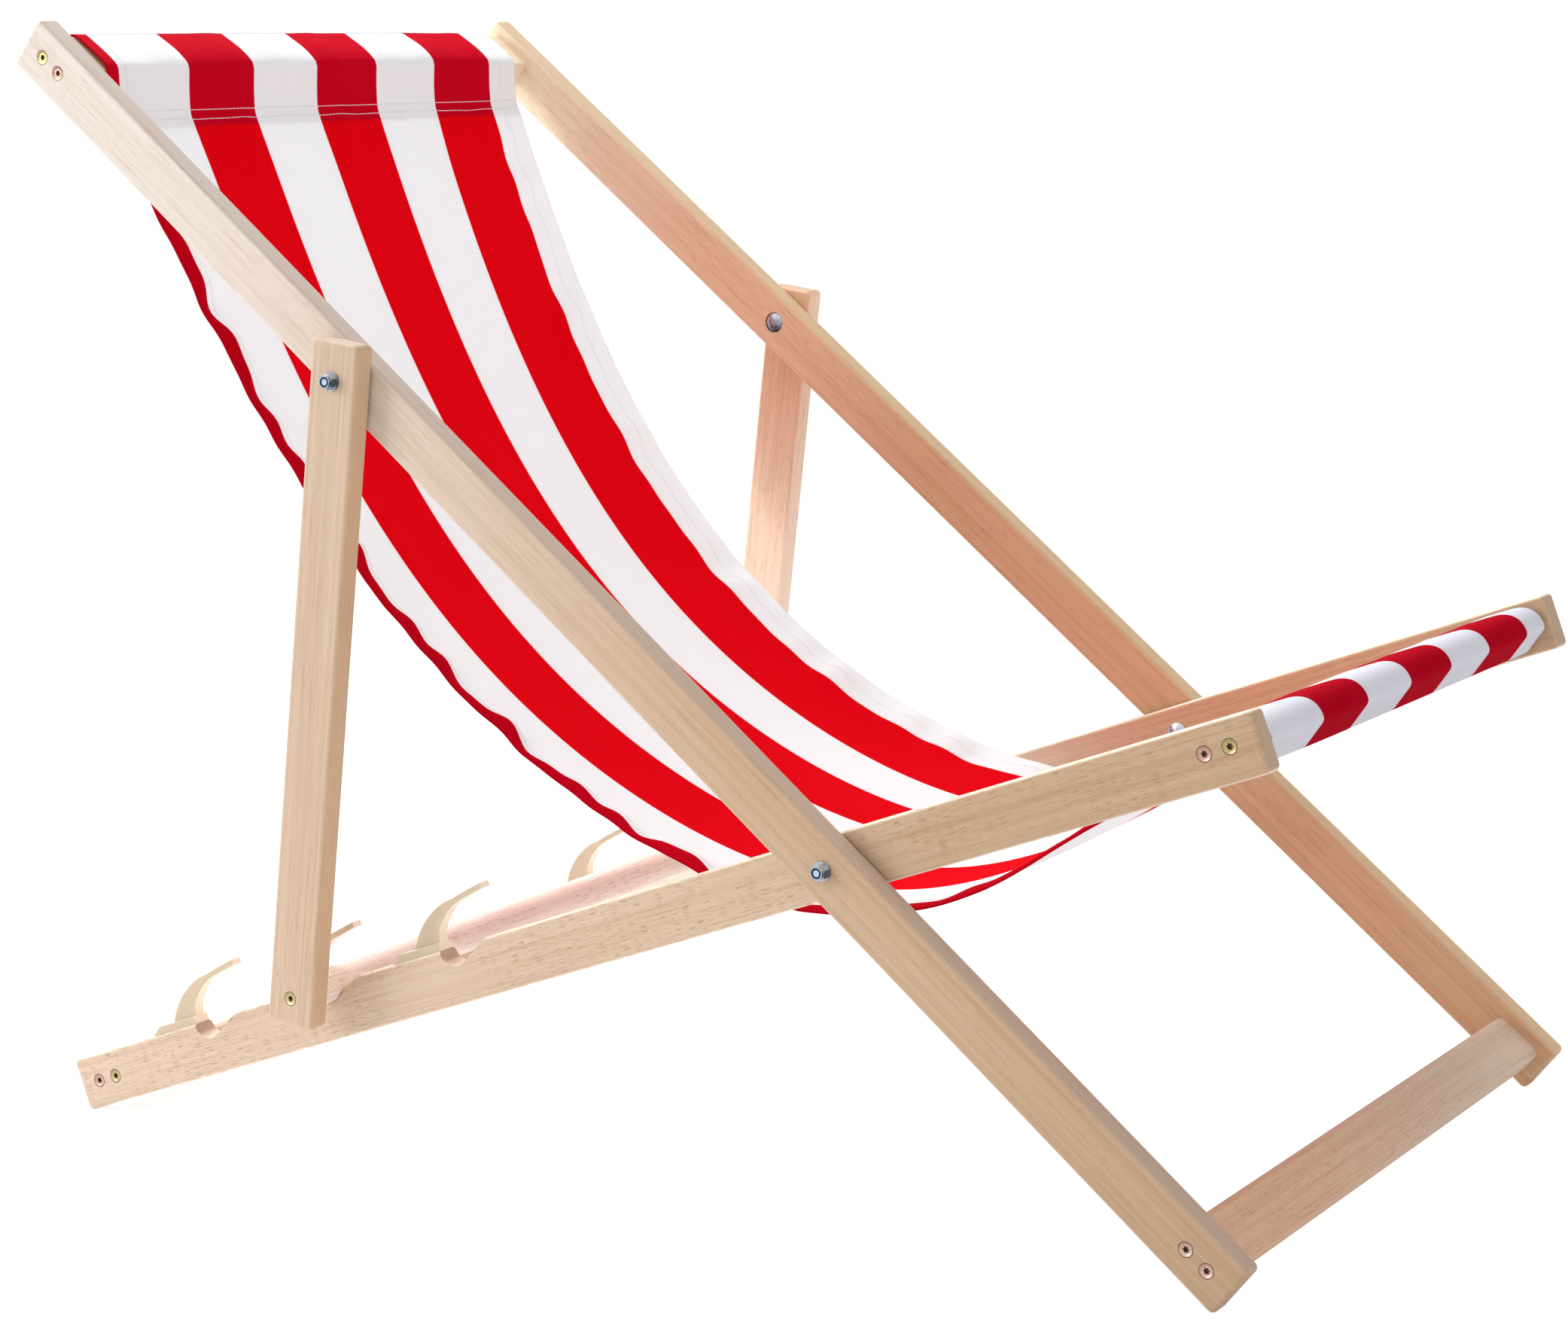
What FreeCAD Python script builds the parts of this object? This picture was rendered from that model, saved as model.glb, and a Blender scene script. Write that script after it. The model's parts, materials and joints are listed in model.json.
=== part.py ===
import FreeCAD, Part
import math
import os

# Wooden deck chair with a hanging canvas seat. Sizes are in millimetres.
# X runs across the chair, its front faces -Y and Z is up.
# The origin is on the floor, under the middle of the frame.
# Right and left are the sitter's own, so the right side is at -X.

# Rails: wooden strips on edge, rounded all over
RAIL_HEIGHT = 40.0
RAIL_THICKNESS = 18.0
RAIL_CORNER_RADIUS = 4.0
RAIL_EDGE_RADIUS = 3.2

# Long frame, along the rail from the main bolt
LONG_RAIL_TO_HEAD = 851.0
LONG_RAIL_TO_FOOT = 371.0
PROP_BOLT_FROM_MAIN_BOLT = 482.0
TOP_CROSSBAR_FROM_HEAD = 28.5
BOTTOM_SLAT_FROM_FOOT = 29.5

# Seat frame, along the rail from the main bolt
SEAT_INNER_WIDTH = 475.0
SEAT_RAIL_TO_FRONT = 317.0
SEAT_RAIL_TO_REAR = 727.0
FRONT_CROSSBAR_FROM_END = 29.5
REAR_CROSSBAR_FROM_END = 29.0

# Prop frame, along the prop from its bolt
PROP_ABOVE_BOLT = 27.0
PROP_BOLT_TO_DOWEL = 445.0
PROP_BELOW_DOWEL = 20.0
DOWEL_DIAMETER = 25.0

# Crossbars: wide strips on the flat
CROSSBAR_WIDTH = 40.0
CROSSBAR_THICKNESS = 22.0
CROSSBAR_EDGE_RADIUS = 6.0
TOP_CROSSBAR_EDGE_RADIUS = 2.5
FRONT_CROSSBAR_EDGE_RADIUS = 10.0
FRONT_CROSSBAR_LIFT = 2.5

# Notches in the seat rails, counted from the main bolt
NOTCH_COUNT = 3
FIRST_NOTCH_FROM_MAIN_BOLT = 333.0
NOTCH_PITCH = 124.0
NOTCH_DEPTH = 13.3
NOTCH_CLEARANCE = 0.4
NOTCH_RAMP_ANGLE = math.radians(26.0)
NOTCH_MOUTH_RADIUS = 8.0

# Plastic hooks that keep the dowel from jumping out of a notch
HOOK_FLANGE_WIDTH = 14.0
HOOK_FLANGE_LENGTH = 46.0
HOOK_FLANGE_THICKNESS = 5.6
HOOK_FLANGE_SLOPE = 8.0
HOOK_STRIP_WIDTH = 9.0
HOOK_STRIP_THICKNESS = 4.0
HOOK_STRIP_RISE = 6.0
HOOK_STRIP_TIP_LENGTH = 21.0
HOOK_STRIP_BEND_RADII = (14.0, 45.0)
HOOK_STRIP_BEND_ANGLES = (90.0, 50.0, 9.0)
HOOK_WEB_THICKNESS = 4.0
HOOK_WEB_LENGTH = 22.6
HOOK_WEB_BULGE = (20.0, 25.0)
HOOK_PEG_DIAMETER = 8.0
HOOK_PEG_LENGTH = 12.0

# Bolts, washers and self-locking nuts at the pivots
BOLT_DIAMETER = 6.0
BOLT_HEAD_DIAMETER = 16.0
BOLT_HEAD_HEIGHT = 3.2
BOLT_HEAD_RIM = 0.8
BOLT_HEAD_SINK = 2.0
BOLT_HEAD_CLEARANCE = 0.3
BOLT_END_RECESS = 0.2
SPACER_DIAMETER = 18.0
SPACER_THICKNESS = 1.2
WASHER_DIAMETER = 13.0
WASHER_THICKNESS = 1.2
NUT_ACROSS_FLATS = 10.0
NUT_HEIGHT = 4.6
NUT_COLLAR_DIAMETER = 8.8
NUT_COLLAR_HEIGHT = 1.8
NUT_RING_DIAMETER = 7.4
NUT_RING_HEIGHT = 1.2
NUT_RING_RECESS = 0.4
HINGE_CLEARANCE = 0.05
SIDE_CLEARANCE = 0.4

# Countersunk screws through the rails into the crossbars
SCREW_HEAD_DIAMETER = 9.0
SCREW_DIAMETER = 4.5
SCREW_LENGTH = 50.0
SCREW_POINT_LENGTH = 4.0
SCREW_SPACING = 18.0

# Canvas seat, one strip with a sleeve round each end bar
CANVAS_WIDTH = 456.0
CANVAS_THICKNESS = 1.2
CANVAS_HANG_LENGTH = 1178.0
SLEEVE_CLEARANCE = 0.5
CANVAS_CURVE_POINTS = 21

# How far a cutting shape runs past a face
CUT_OVERRUN = 1.0

# Places across the chair, the left side's inner faces
SEAT_RAIL_X = SEAT_INNER_WIDTH / 2
LAYER_GAP = SPACER_THICKNESS + SIDE_CLEARANCE
LONG_RAIL_X = SEAT_RAIL_X + RAIL_THICKNESS + LAYER_GAP
PROP_X = LONG_RAIL_X + RAIL_THICKNESS + LAYER_GAP

# Places along the rails
HALF_HEIGHT = RAIL_HEIGHT / 2
TOP_CROSSBAR_Y = LONG_RAIL_TO_HEAD - TOP_CROSSBAR_FROM_HEAD
BOTTOM_SLAT_Y = -(LONG_RAIL_TO_FOOT - BOTTOM_SLAT_FROM_FOOT)
FRONT_CROSSBAR_Y = -(SEAT_RAIL_TO_FRONT - FRONT_CROSSBAR_FROM_END)
REAR_CROSSBAR_Y = SEAT_RAIL_TO_REAR - REAR_CROSSBAR_FROM_END
NOTCH_RADIUS = DOWEL_DIAMETER / 2 + NOTCH_CLEARANCE
NOTCH_Z = HALF_HEIGHT - NOTCH_DEPTH + NOTCH_RADIUS
NOTCH_YS = [FIRST_NOTCH_FROM_MAIN_BOLT + i * NOTCH_PITCH for i in range(NOTCH_COUNT)]

# The dowel rests in the middle notch, which sets the angle between the two frames
NOTCH_IN_USE = NOTCH_COUNT // 2
DOWEL_Y = NOTCH_YS[NOTCH_IN_USE]
DOWEL_REACH = math.hypot(DOWEL_Y, NOTCH_Z)
OPENING_COSINE = (PROP_BOLT_FROM_MAIN_BOLT ** 2 + DOWEL_REACH ** 2 - PROP_BOLT_TO_DOWEL ** 2) / (
    2 * PROP_BOLT_FROM_MAIN_BOLT * DOWEL_REACH)
FRAME_OPENING = math.acos(OPENING_COSINE) + math.atan2(NOTCH_Z, DOWEL_Y)

# Both frames stand on a rounded rail corner, which sets how the chair leans
CORNER_Z = HALF_HEIGHT - RAIL_CORNER_RADIUS
FOOT_CORNER_Y = LONG_RAIL_TO_FOOT - RAIL_CORNER_RADIUS
REAR_CORNER_Y = SEAT_RAIL_TO_REAR - RAIL_CORNER_RADIUS
FRONT_CORNER_Y = SEAT_RAIL_TO_FRONT - RAIL_CORNER_RADIUS
LONG_ANGLE = math.atan2(
    REAR_CORNER_Y * math.sin(FRAME_OPENING) + CORNER_Z * (math.cos(FRAME_OPENING) - 1),
    FOOT_CORNER_Y + REAR_CORNER_Y * math.cos(FRAME_OPENING) - CORNER_Z * math.sin(FRAME_OPENING))
SEAT_ANGLE = LONG_ANGLE - FRAME_OPENING

# The main bolt, above the floor and behind the middle of the frame
REAR_END = REAR_CORNER_Y * math.cos(SEAT_ANGLE) - CORNER_Z * math.sin(SEAT_ANGLE) + RAIL_CORNER_RADIUS
FRONT_END = FRONT_CORNER_Y * math.cos(SEAT_ANGLE) - CORNER_Z * math.sin(SEAT_ANGLE) + RAIL_CORNER_RADIUS
FOOT_END = FOOT_CORNER_Y * math.cos(LONG_ANGLE) + CORNER_Z * math.sin(LONG_ANGLE) + RAIL_CORNER_RADIUS
MAIN_BOLT_Y = (max(FRONT_END, FOOT_END) - REAR_END) / 2
MAIN_BOLT_Z = (FOOT_CORNER_Y * math.sin(LONG_ANGLE) + CORNER_Z * math.cos(LONG_ANGLE)
               + RAIL_CORNER_RADIUS)


def turned(y, z, angle):
    """A point of a frame, rotated to where it stands around the main bolt."""
    return (y * math.cos(angle) - z * math.sin(angle), y * math.sin(angle) + z * math.cos(angle))


PROP_BOLT = turned(PROP_BOLT_FROM_MAIN_BOLT, 0.0, LONG_ANGLE)
DOWEL = turned(DOWEL_Y, NOTCH_Z, SEAT_ANGLE)
PROP_ANGLE = math.atan2(DOWEL[1] - PROP_BOLT[1], DOWEL[0] - PROP_BOLT[0])


def stand(shape, angle, y=0.0, z=0.0):
    """Turn a piece about X and move it to its place round the main bolt."""
    moved = shape.copy()
    moved.rotate(FreeCAD.Vector(0, 0, 0), FreeCAD.Vector(1, 0, 0), math.degrees(angle))
    moved.translate(FreeCAD.Vector(0, MAIN_BOLT_Y + y, MAIN_BOLT_Z + z))
    return moved


def on_long_frame(shape):
    return stand(shape, LONG_ANGLE)


def on_seat_frame(shape):
    return stand(shape, SEAT_ANGLE)


def on_prop_frame(shape):
    return stand(shape, PROP_ANGLE, *PROP_BOLT)


def point(y, z):
    return FreeCAD.Vector(0, y, z)


def line(start, end):
    return Part.LineSegment(point(*start), point(*end)).toShape()


def arc(start, middle, end):
    return Part.Arc(point(*start), point(*middle), point(*end)).toShape()


def prism(edges, x_from, x_to):
    """Extrude a closed outline of the YZ plane across the chair."""
    face = Part.Face(Part.Wire(edges))
    face.translate(FreeCAD.Vector(x_from, 0, 0))
    return face.extrude(FreeCAD.Vector(x_to - x_from, 0, 0))


def rounded_outline(y_from, y_to, z_from, z_to, radius):
    """Edges of a rectangle with four round corners."""
    chord = radius * (1 - math.sqrt(0.5))
    return [
        line((y_from + radius, z_from), (y_to - radius, z_from)),
        arc((y_to - radius, z_from), (y_to - chord, z_from + chord), (y_to, z_from + radius)),
        line((y_to, z_from + radius), (y_to, z_to - radius)),
        arc((y_to, z_to - radius), (y_to - chord, z_to - chord), (y_to - radius, z_to)),
        line((y_to - radius, z_to), (y_from + radius, z_to)),
        arc((y_from + radius, z_to), (y_from + chord, z_to - chord), (y_from, z_to - radius)),
        line((y_from, z_to - radius), (y_from, z_from + radius)),
        arc((y_from, z_from + radius), (y_from + chord, z_from + chord), (y_from + radius, z_from)),
    ]


def rail(y_from, y_to, x_inner):
    """A strip on edge, rounded at its corners and along its edges."""
    outline = rounded_outline(y_from, y_to, -HALF_HEIGHT, HALF_HEIGHT, RAIL_CORNER_RADIUS)
    strip = prism(outline, x_inner, x_inner + RAIL_THICKNESS)
    side_edges = [edge for edge in strip.Edges if edge.BoundBox.XLength < 1e-6]
    return strip.makeFillet(RAIL_EDGE_RADIUS, side_edges)


def crossbar(y, z, half_length, radius):
    """A strip on the flat between the inner faces of two rails."""
    outline = rounded_outline(
        y - CROSSBAR_WIDTH / 2, y + CROSSBAR_WIDTH / 2,
        z - CROSSBAR_THICKNESS / 2, z + CROSSBAR_THICKNESS / 2, radius)
    return prism(outline, -half_length, half_length)


def rod(radius, x_from, x_to, y=0.0, z=0.0):
    return Part.makeCylinder(
        radius, x_to - x_from, FreeCAD.Vector(x_from, y, z), FreeCAD.Vector(1, 0, 0))


def turned_piece(edges, y, z):
    """Revolve a half section, given as (x, radius) edges, about a line along X."""
    section = Part.Face(Part.Wire(edges))
    solid = section.revolve(FreeCAD.Vector(0, 0, 0), FreeCAD.Vector(1, 0, 0), 360)
    solid.translate(FreeCAD.Vector(0, y, z))
    return solid


def section_point(x, radius):
    return FreeCAD.Vector(x, radius, 0)


def section_path(corners):
    """Straight edges through (x, radius) corners, closed."""
    ring = corners + corners[:1]
    return [Part.LineSegment(section_point(*a), section_point(*b)).toShape()
            for a, b in zip(ring, ring[1:])]


def screw(x_outer, y, z=0.0):
    """A countersunk screw whose head is flush with an outer face."""
    head = SCREW_HEAD_DIAMETER / 2
    shank = SCREW_DIAMETER / 2
    corners = [
        (x_outer, 0.0), (x_outer, head), (x_outer - (head - shank), shank),
        (x_outer - SCREW_LENGTH + SCREW_POINT_LENGTH, shank), (x_outer - SCREW_LENGTH, 0.0)]
    return turned_piece(section_path(corners), y, z)


def screw_pair(x_outer, y, z=0.0):
    screws = [screw(x_outer, y + side * SCREW_SPACING / 2, z) for side in (-1, 1)]
    return Part.makeCompound(screws)


def bolt(x_head, x_end, y):
    """A round-headed bolt, from the flat under its head to its end."""
    head = BOLT_HEAD_DIAMETER / 2
    shank = BOLT_DIAMETER / 2
    crown = BOLT_HEAD_HEIGHT - BOLT_HEAD_RIM
    sphere = (head ** 2 + crown ** 2) / (2 * crown)
    centre = x_head - BOLT_HEAD_HEIGHT + sphere
    half_turn = math.asin(head / sphere) / 2
    top = section_point(x_head - BOLT_HEAD_HEIGHT, 0)
    middle = section_point(centre - sphere * math.cos(half_turn), sphere * math.sin(half_turn))
    rim = section_point(x_head - BOLT_HEAD_RIM, head)
    corners = [rim, section_point(x_head, head), section_point(x_head, shank),
               section_point(x_end, shank), section_point(x_end, 0), top]
    straight = [Part.LineSegment(a, b).toShape() for a, b in zip(corners, corners[1:])]
    return turned_piece(straight + [Part.Arc(top, middle, rim).toShape()], y, 0)


def washer(diameter, thickness, x_from, y):
    ring = rod(diameter / 2, x_from, x_from + thickness, y)
    return ring.cut(rod(BOLT_DIAMETER / 2, x_from, x_from + thickness, y))


def nut(x_from, y):
    """A hexagon nut and the soft ring that locks it, held in its round collar."""
    corner = NUT_ACROSS_FLATS / math.sqrt(3)
    ends = [(y + corner * math.cos(math.radians(60 * i)), corner * math.sin(math.radians(60 * i)))
            for i in range(6)]
    sides = [line(a, b) for a, b in zip(ends, ends[1:] + ends[:1])]
    top = x_from + NUT_HEIGHT
    hexagon = prism(sides, x_from, top)
    end = top + NUT_COLLAR_HEIGHT
    ring_end = end - NUT_RING_RECESS
    collar = rod(NUT_COLLAR_DIAMETER / 2, top, end, y)
    bore = rod(BOLT_DIAMETER / 2, x_from, end, y)
    seat = rod(NUT_RING_DIAMETER / 2, ring_end - NUT_RING_HEIGHT, end, y)
    body = hexagon.fuse(collar).removeSplitter().cut([bore, seat])
    return body, washer(NUT_RING_DIAMETER, NUT_RING_HEIGHT, ring_end - NUT_RING_HEIGHT, y)


def notch(y):
    """The space that a notch takes out of a seat rail, open to the front and above."""
    top = HALF_HEIGHT - NOTCH_Z
    above = HALF_HEIGHT
    slope = (math.cos(NOTCH_RAMP_ANGLE), math.sin(NOTCH_RAMP_ANGLE))
    ramp_foot = (NOTCH_RADIUS * slope[1], -NOTCH_RADIUS * slope[0])
    ramp_top = ramp_foot[0] + (top - ramp_foot[1]) * slope[0] / slope[1]
    tangent = NOTCH_MOUTH_RADIUS * math.tan(NOTCH_RAMP_ANGLE / 2)
    mouth_middle = (
        ramp_top + tangent - NOTCH_MOUTH_RADIUS * math.sin(NOTCH_RAMP_ANGLE / 2),
        top - NOTCH_MOUTH_RADIUS * (1 - math.cos(NOTCH_RAMP_ANGLE / 2)))
    diagonal = NOTCH_RADIUS * math.sqrt(0.5)
    ramp_end = (ramp_top - tangent * slope[0], top - tangent * slope[1])
    mouth_end = (ramp_top + tangent, top)

    def placed(spot):
        return (y - spot[0], NOTCH_Z + spot[1])

    spots = [(-NOTCH_RADIUS, above), (-NOTCH_RADIUS, 0.0), (-diagonal, -diagonal), ramp_foot,
             ramp_end, mouth_middle, mouth_end, (mouth_end[0], above)]
    p = [placed(spot) for spot in spots]
    edges = [line(p[0], p[1]), arc(p[1], p[2], p[3]), line(p[3], p[4]), arc(p[4], p[5], p[6]),
             line(p[6], p[7]), line(p[7], p[0])]
    return prism(edges, SEAT_RAIL_X - CUT_OVERRUN, SEAT_RAIL_X + RAIL_THICKNESS + CUT_OVERRUN)


def strip_side(y, offset):
    """One side of a hook's curved strip: edges, the end of its bends and its tip.

    The strip climbs straight from the rail beside the notch, bends forward twice and ends in
    a straight tip. A positive offset is the side away from the notch.
    """
    def placed(forward, up):
        return (y - forward, NOTCH_Z + up)

    forward = -NOTCH_RADIUS - offset
    up = HALF_HEIGHT - NOTCH_Z + HOOK_STRIP_RISE
    edges = [line(placed(forward, HALF_HEIGHT - NOTCH_Z), placed(forward, up))]
    headings = [math.radians(angle) for angle in HOOK_STRIP_BEND_ANGLES]
    for radius, start, end in zip(HOOK_STRIP_BEND_RADII, headings, headings[1:]):
        outer = radius + offset
        centre = (forward + outer * math.sin(start), up - outer * math.cos(start))
        bend = [placed(centre[0] - outer * math.sin(turn), centre[1] + outer * math.cos(turn))
                for turn in (start, (start + end) / 2, end)]
        edges.append(arc(*bend))
        forward = centre[0] - outer * math.sin(end)
        up = centre[1] + outer * math.cos(end)
    bend_end = placed(forward, up)
    tip = placed(forward + HOOK_STRIP_TIP_LENGTH * math.cos(headings[-1]),
                 up + HOOK_STRIP_TIP_LENGTH * math.sin(headings[-1]))
    return edges, bend_end, tip


def hook_peg(y):
    """The peg under a hook's flange, which holds it in the rail."""
    x_middle = SEAT_RAIL_X + RAIL_THICKNESS / 2
    y_peg = y + NOTCH_RADIUS + HOOK_FLANGE_LENGTH / 2
    return Part.makeCylinder(
        HOOK_PEG_DIAMETER / 2, HOOK_PEG_LENGTH,
        FreeCAD.Vector(x_middle, y_peg, HALF_HEIGHT - HOOK_PEG_LENGTH), FreeCAD.Vector(0, 0, 1))


def hook(y):
    """A plastic hook behind a notch: flange, web and a strip that curls over the notch."""
    x_middle = SEAT_RAIL_X + RAIL_THICKNESS / 2
    front = y + NOTCH_RADIUS
    rear = front + HOOK_FLANGE_LENGTH
    top = HALF_HEIGHT + HOOK_FLANGE_THICKNESS
    corners = [(front, HALF_HEIGHT), (rear, HALF_HEIGHT), (rear - HOOK_FLANGE_SLOPE, top),
               (front, top), (front, HALF_HEIGHT)]
    flange = prism(
        [line(a, b) for a, b in zip(corners, corners[1:])],
        x_middle - HOOK_FLANGE_WIDTH / 2, x_middle + HOOK_FLANGE_WIDTH / 2)

    under, under_end, under_tip = strip_side(y, 0.0)
    over, over_end, over_tip = strip_side(y, HOOK_STRIP_THICKNESS)
    foot = line((front, HALF_HEIGHT), (front + HOOK_STRIP_THICKNESS, HALF_HEIGHT))
    strip_outline = Part.__sortEdges__(
        under + over
        + [line(under_end, under_tip), line(over_end, over_tip), line(under_tip, over_tip), foot])
    strip = prism(
        strip_outline, x_middle - HOOK_STRIP_WIDTH / 2, x_middle + HOOK_STRIP_WIDTH / 2)

    spine, spine_end, _ = strip_side(y, HOOK_STRIP_THICKNESS / 2)
    web_rear = front + HOOK_STRIP_THICKNESS + HOOK_WEB_LENGTH
    bulge = (y + HOOK_WEB_BULGE[0], NOTCH_Z + HOOK_WEB_BULGE[1])
    web_outline = Part.__sortEdges__(spine + [
        arc(spine_end, bulge, (web_rear, top)),
        line((web_rear, top), (web_rear, HALF_HEIGHT)),
        line((web_rear, HALF_HEIGHT), (front + HOOK_STRIP_THICKNESS / 2, HALF_HEIGHT))])
    web = prism(
        web_outline, x_middle - HOOK_WEB_THICKNESS / 2, x_middle + HOOK_WEB_THICKNESS / 2)
    return flange.fuse([strip, web, hook_peg(y)]).removeSplitter()


def catenary(start, end, length):
    """Middle line of a sheet that hangs between two points: points and unit normals."""
    span = start[0] - end[0]
    rise = start[1] - end[1]
    slack = math.sqrt(length ** 2 - rise ** 2) / span
    low, high = 1e-3, 20.0
    for _ in range(80):
        middle = (low + high) / 2
        if math.sinh(middle) / middle < slack:
            low = middle
        else:
            high = middle
    half = (low + high) / 2
    scale = span / (2 * half)
    shift = math.atanh(rise / length)
    bottom = start[1] - scale * math.cosh(half + shift)
    points = []
    for i in range(CANVAS_CURVE_POINTS):
        t = half + shift - 2 * half * i / (CANVAS_CURVE_POINTS - 1)
        spot = (end[0] + scale * (t + half - shift), bottom + scale * math.cosh(t))
        normal = (-math.sinh(t) / math.cosh(t), 1 / math.cosh(t))
        points.append((spot, normal))
    return points


def sheet(points, x_half):
    """A thin sheet along a hanging curve."""
    sides = []
    for side in (-1, 1):
        offset = side * CANVAS_THICKNESS / 2
        spots = [point(spot[0] + offset * normal[0], spot[1] + offset * normal[1])
                 for spot, normal in points]
        curve = Part.BSplineCurve()
        curve.interpolate(spots)
        sides.append((curve.toShape(), spots))
    (lower, low_spots), (upper, high_spots) = sides
    ends = [Part.LineSegment(low_spots[i], high_spots[i]).toShape() for i in (0, -1)]
    return prism(Part.__sortEdges__([lower, upper] + ends), -x_half, x_half)


def sleeve(y, z, radius, angle):
    """The canvas round an end bar, standing at the bar's angle."""
    rings = []
    for spread in (SLEEVE_CLEARANCE + CANVAS_THICKNESS, SLEEVE_CLEARANCE):
        outline = rounded_outline(
            y - CROSSBAR_WIDTH / 2 - spread, y + CROSSBAR_WIDTH / 2 + spread,
            z - CROSSBAR_THICKNESS / 2 - spread, z + CROSSBAR_THICKNESS / 2 + spread,
            radius + spread)
        rings.append(prism(outline, -CANVAS_WIDTH / 2, CANVAS_WIDTH / 2))
    return stand(rings[0].cut(rings[1]), angle)


def canvas():
    """The seat: a hanging sheet between the sleeves of the top and the front bar."""
    inset = CROSSBAR_WIDTH / 2 + SLEEVE_CLEARANCE + CANVAS_THICKNESS / 2
    head = turned(TOP_CROSSBAR_Y - inset, 0.0, LONG_ANGLE)
    front = turned(FRONT_CROSSBAR_Y + inset, FRONT_CROSSBAR_LIFT, SEAT_ANGLE)
    hanging = sheet(catenary(head, front, CANVAS_HANG_LENGTH), CANVAS_WIDTH / 2)
    hanging = stand(hanging, 0.0)
    top_sleeve = sleeve(TOP_CROSSBAR_Y, 0.0, TOP_CROSSBAR_EDGE_RADIUS, LONG_ANGLE)
    front_sleeve = sleeve(
        FRONT_CROSSBAR_Y, FRONT_CROSSBAR_LIFT, FRONT_CROSSBAR_EDGE_RADIUS, SEAT_ANGLE)
    return hanging.fuse([top_sleeve, front_sleeve]).removeSplitter()


def mirrored(shape):
    return shape.mirror(FreeCAD.Vector(0, 0, 0), FreeCAD.Vector(1, 0, 0))


def pivot_hardware(x_head, x_end_face, y):
    """Bolt, outer washer, nut and locking ring of a pivot, just clear of the last rail."""
    x_washer = x_end_face + SIDE_CLEARANCE
    x_nut = x_washer + WASHER_THICKNESS
    x_end = x_nut + NUT_HEIGHT + NUT_COLLAR_HEIGHT - BOLT_END_RECESS
    return (bolt(x_head, x_end, y), washer(WASHER_DIAMETER, WASHER_THICKNESS, x_washer, y),
            *nut(x_nut, y))


def long_frame():
    """Left-side and middle pieces of the long frame, in its own coordinates."""
    x_outer = LONG_RAIL_X + RAIL_THICKNESS
    y_prop = PROP_BOLT_FROM_MAIN_BOLT
    top_screws = screw_pair(x_outer, TOP_CROSSBAR_Y)
    slat_screws = screw_pair(x_outer, BOTTOM_SLAT_Y)
    prop_bolt, prop_washer, prop_nut, prop_ring = pivot_hardware(
        LONG_RAIL_X + BOLT_HEAD_SINK, PROP_X + RAIL_THICKNESS, y_prop)
    spacer = washer(SPACER_DIAMETER, SPACER_THICKNESS, x_outer, y_prop)
    head_pocket = rod(
        BOLT_HEAD_DIAMETER / 2 + BOLT_HEAD_CLEARANCE,
        LONG_RAIL_X - CUT_OVERRUN, LONG_RAIL_X + BOLT_HEAD_SINK, y_prop)
    main_hole = rod(
        BOLT_DIAMETER / 2 + HINGE_CLEARANCE, LONG_RAIL_X - CUT_OVERRUN, x_outer + CUT_OVERRUN)
    long_rail = rail(-LONG_RAIL_TO_FOOT, LONG_RAIL_TO_HEAD, LONG_RAIL_X)
    long_rail = long_rail.cut([top_screws, slat_screws, prop_bolt, head_pocket, main_hole])
    top_bar = crossbar(TOP_CROSSBAR_Y, 0.0, LONG_RAIL_X, TOP_CROSSBAR_EDGE_RADIUS)
    top_bar = top_bar.cut([top_screws, mirrored(top_screws)])
    slat = crossbar(BOTTOM_SLAT_Y, 0.0, LONG_RAIL_X, CROSSBAR_EDGE_RADIUS)
    slat = slat.cut([slat_screws, mirrored(slat_screws)])
    sides = {
        "long_rail": long_rail, "top_crossbar_screws": top_screws,
        "bottom_slat_screws": slat_screws, "prop_bolt": prop_bolt,
        "prop_bolt_spacer": spacer, "prop_bolt_washer": prop_washer, "prop_bolt_nut": prop_nut,
        "prop_bolt_nut_ring": prop_ring}
    middles = {"top_crossbar": top_bar, "bottom_slat": slat}
    return sides, middles


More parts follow.
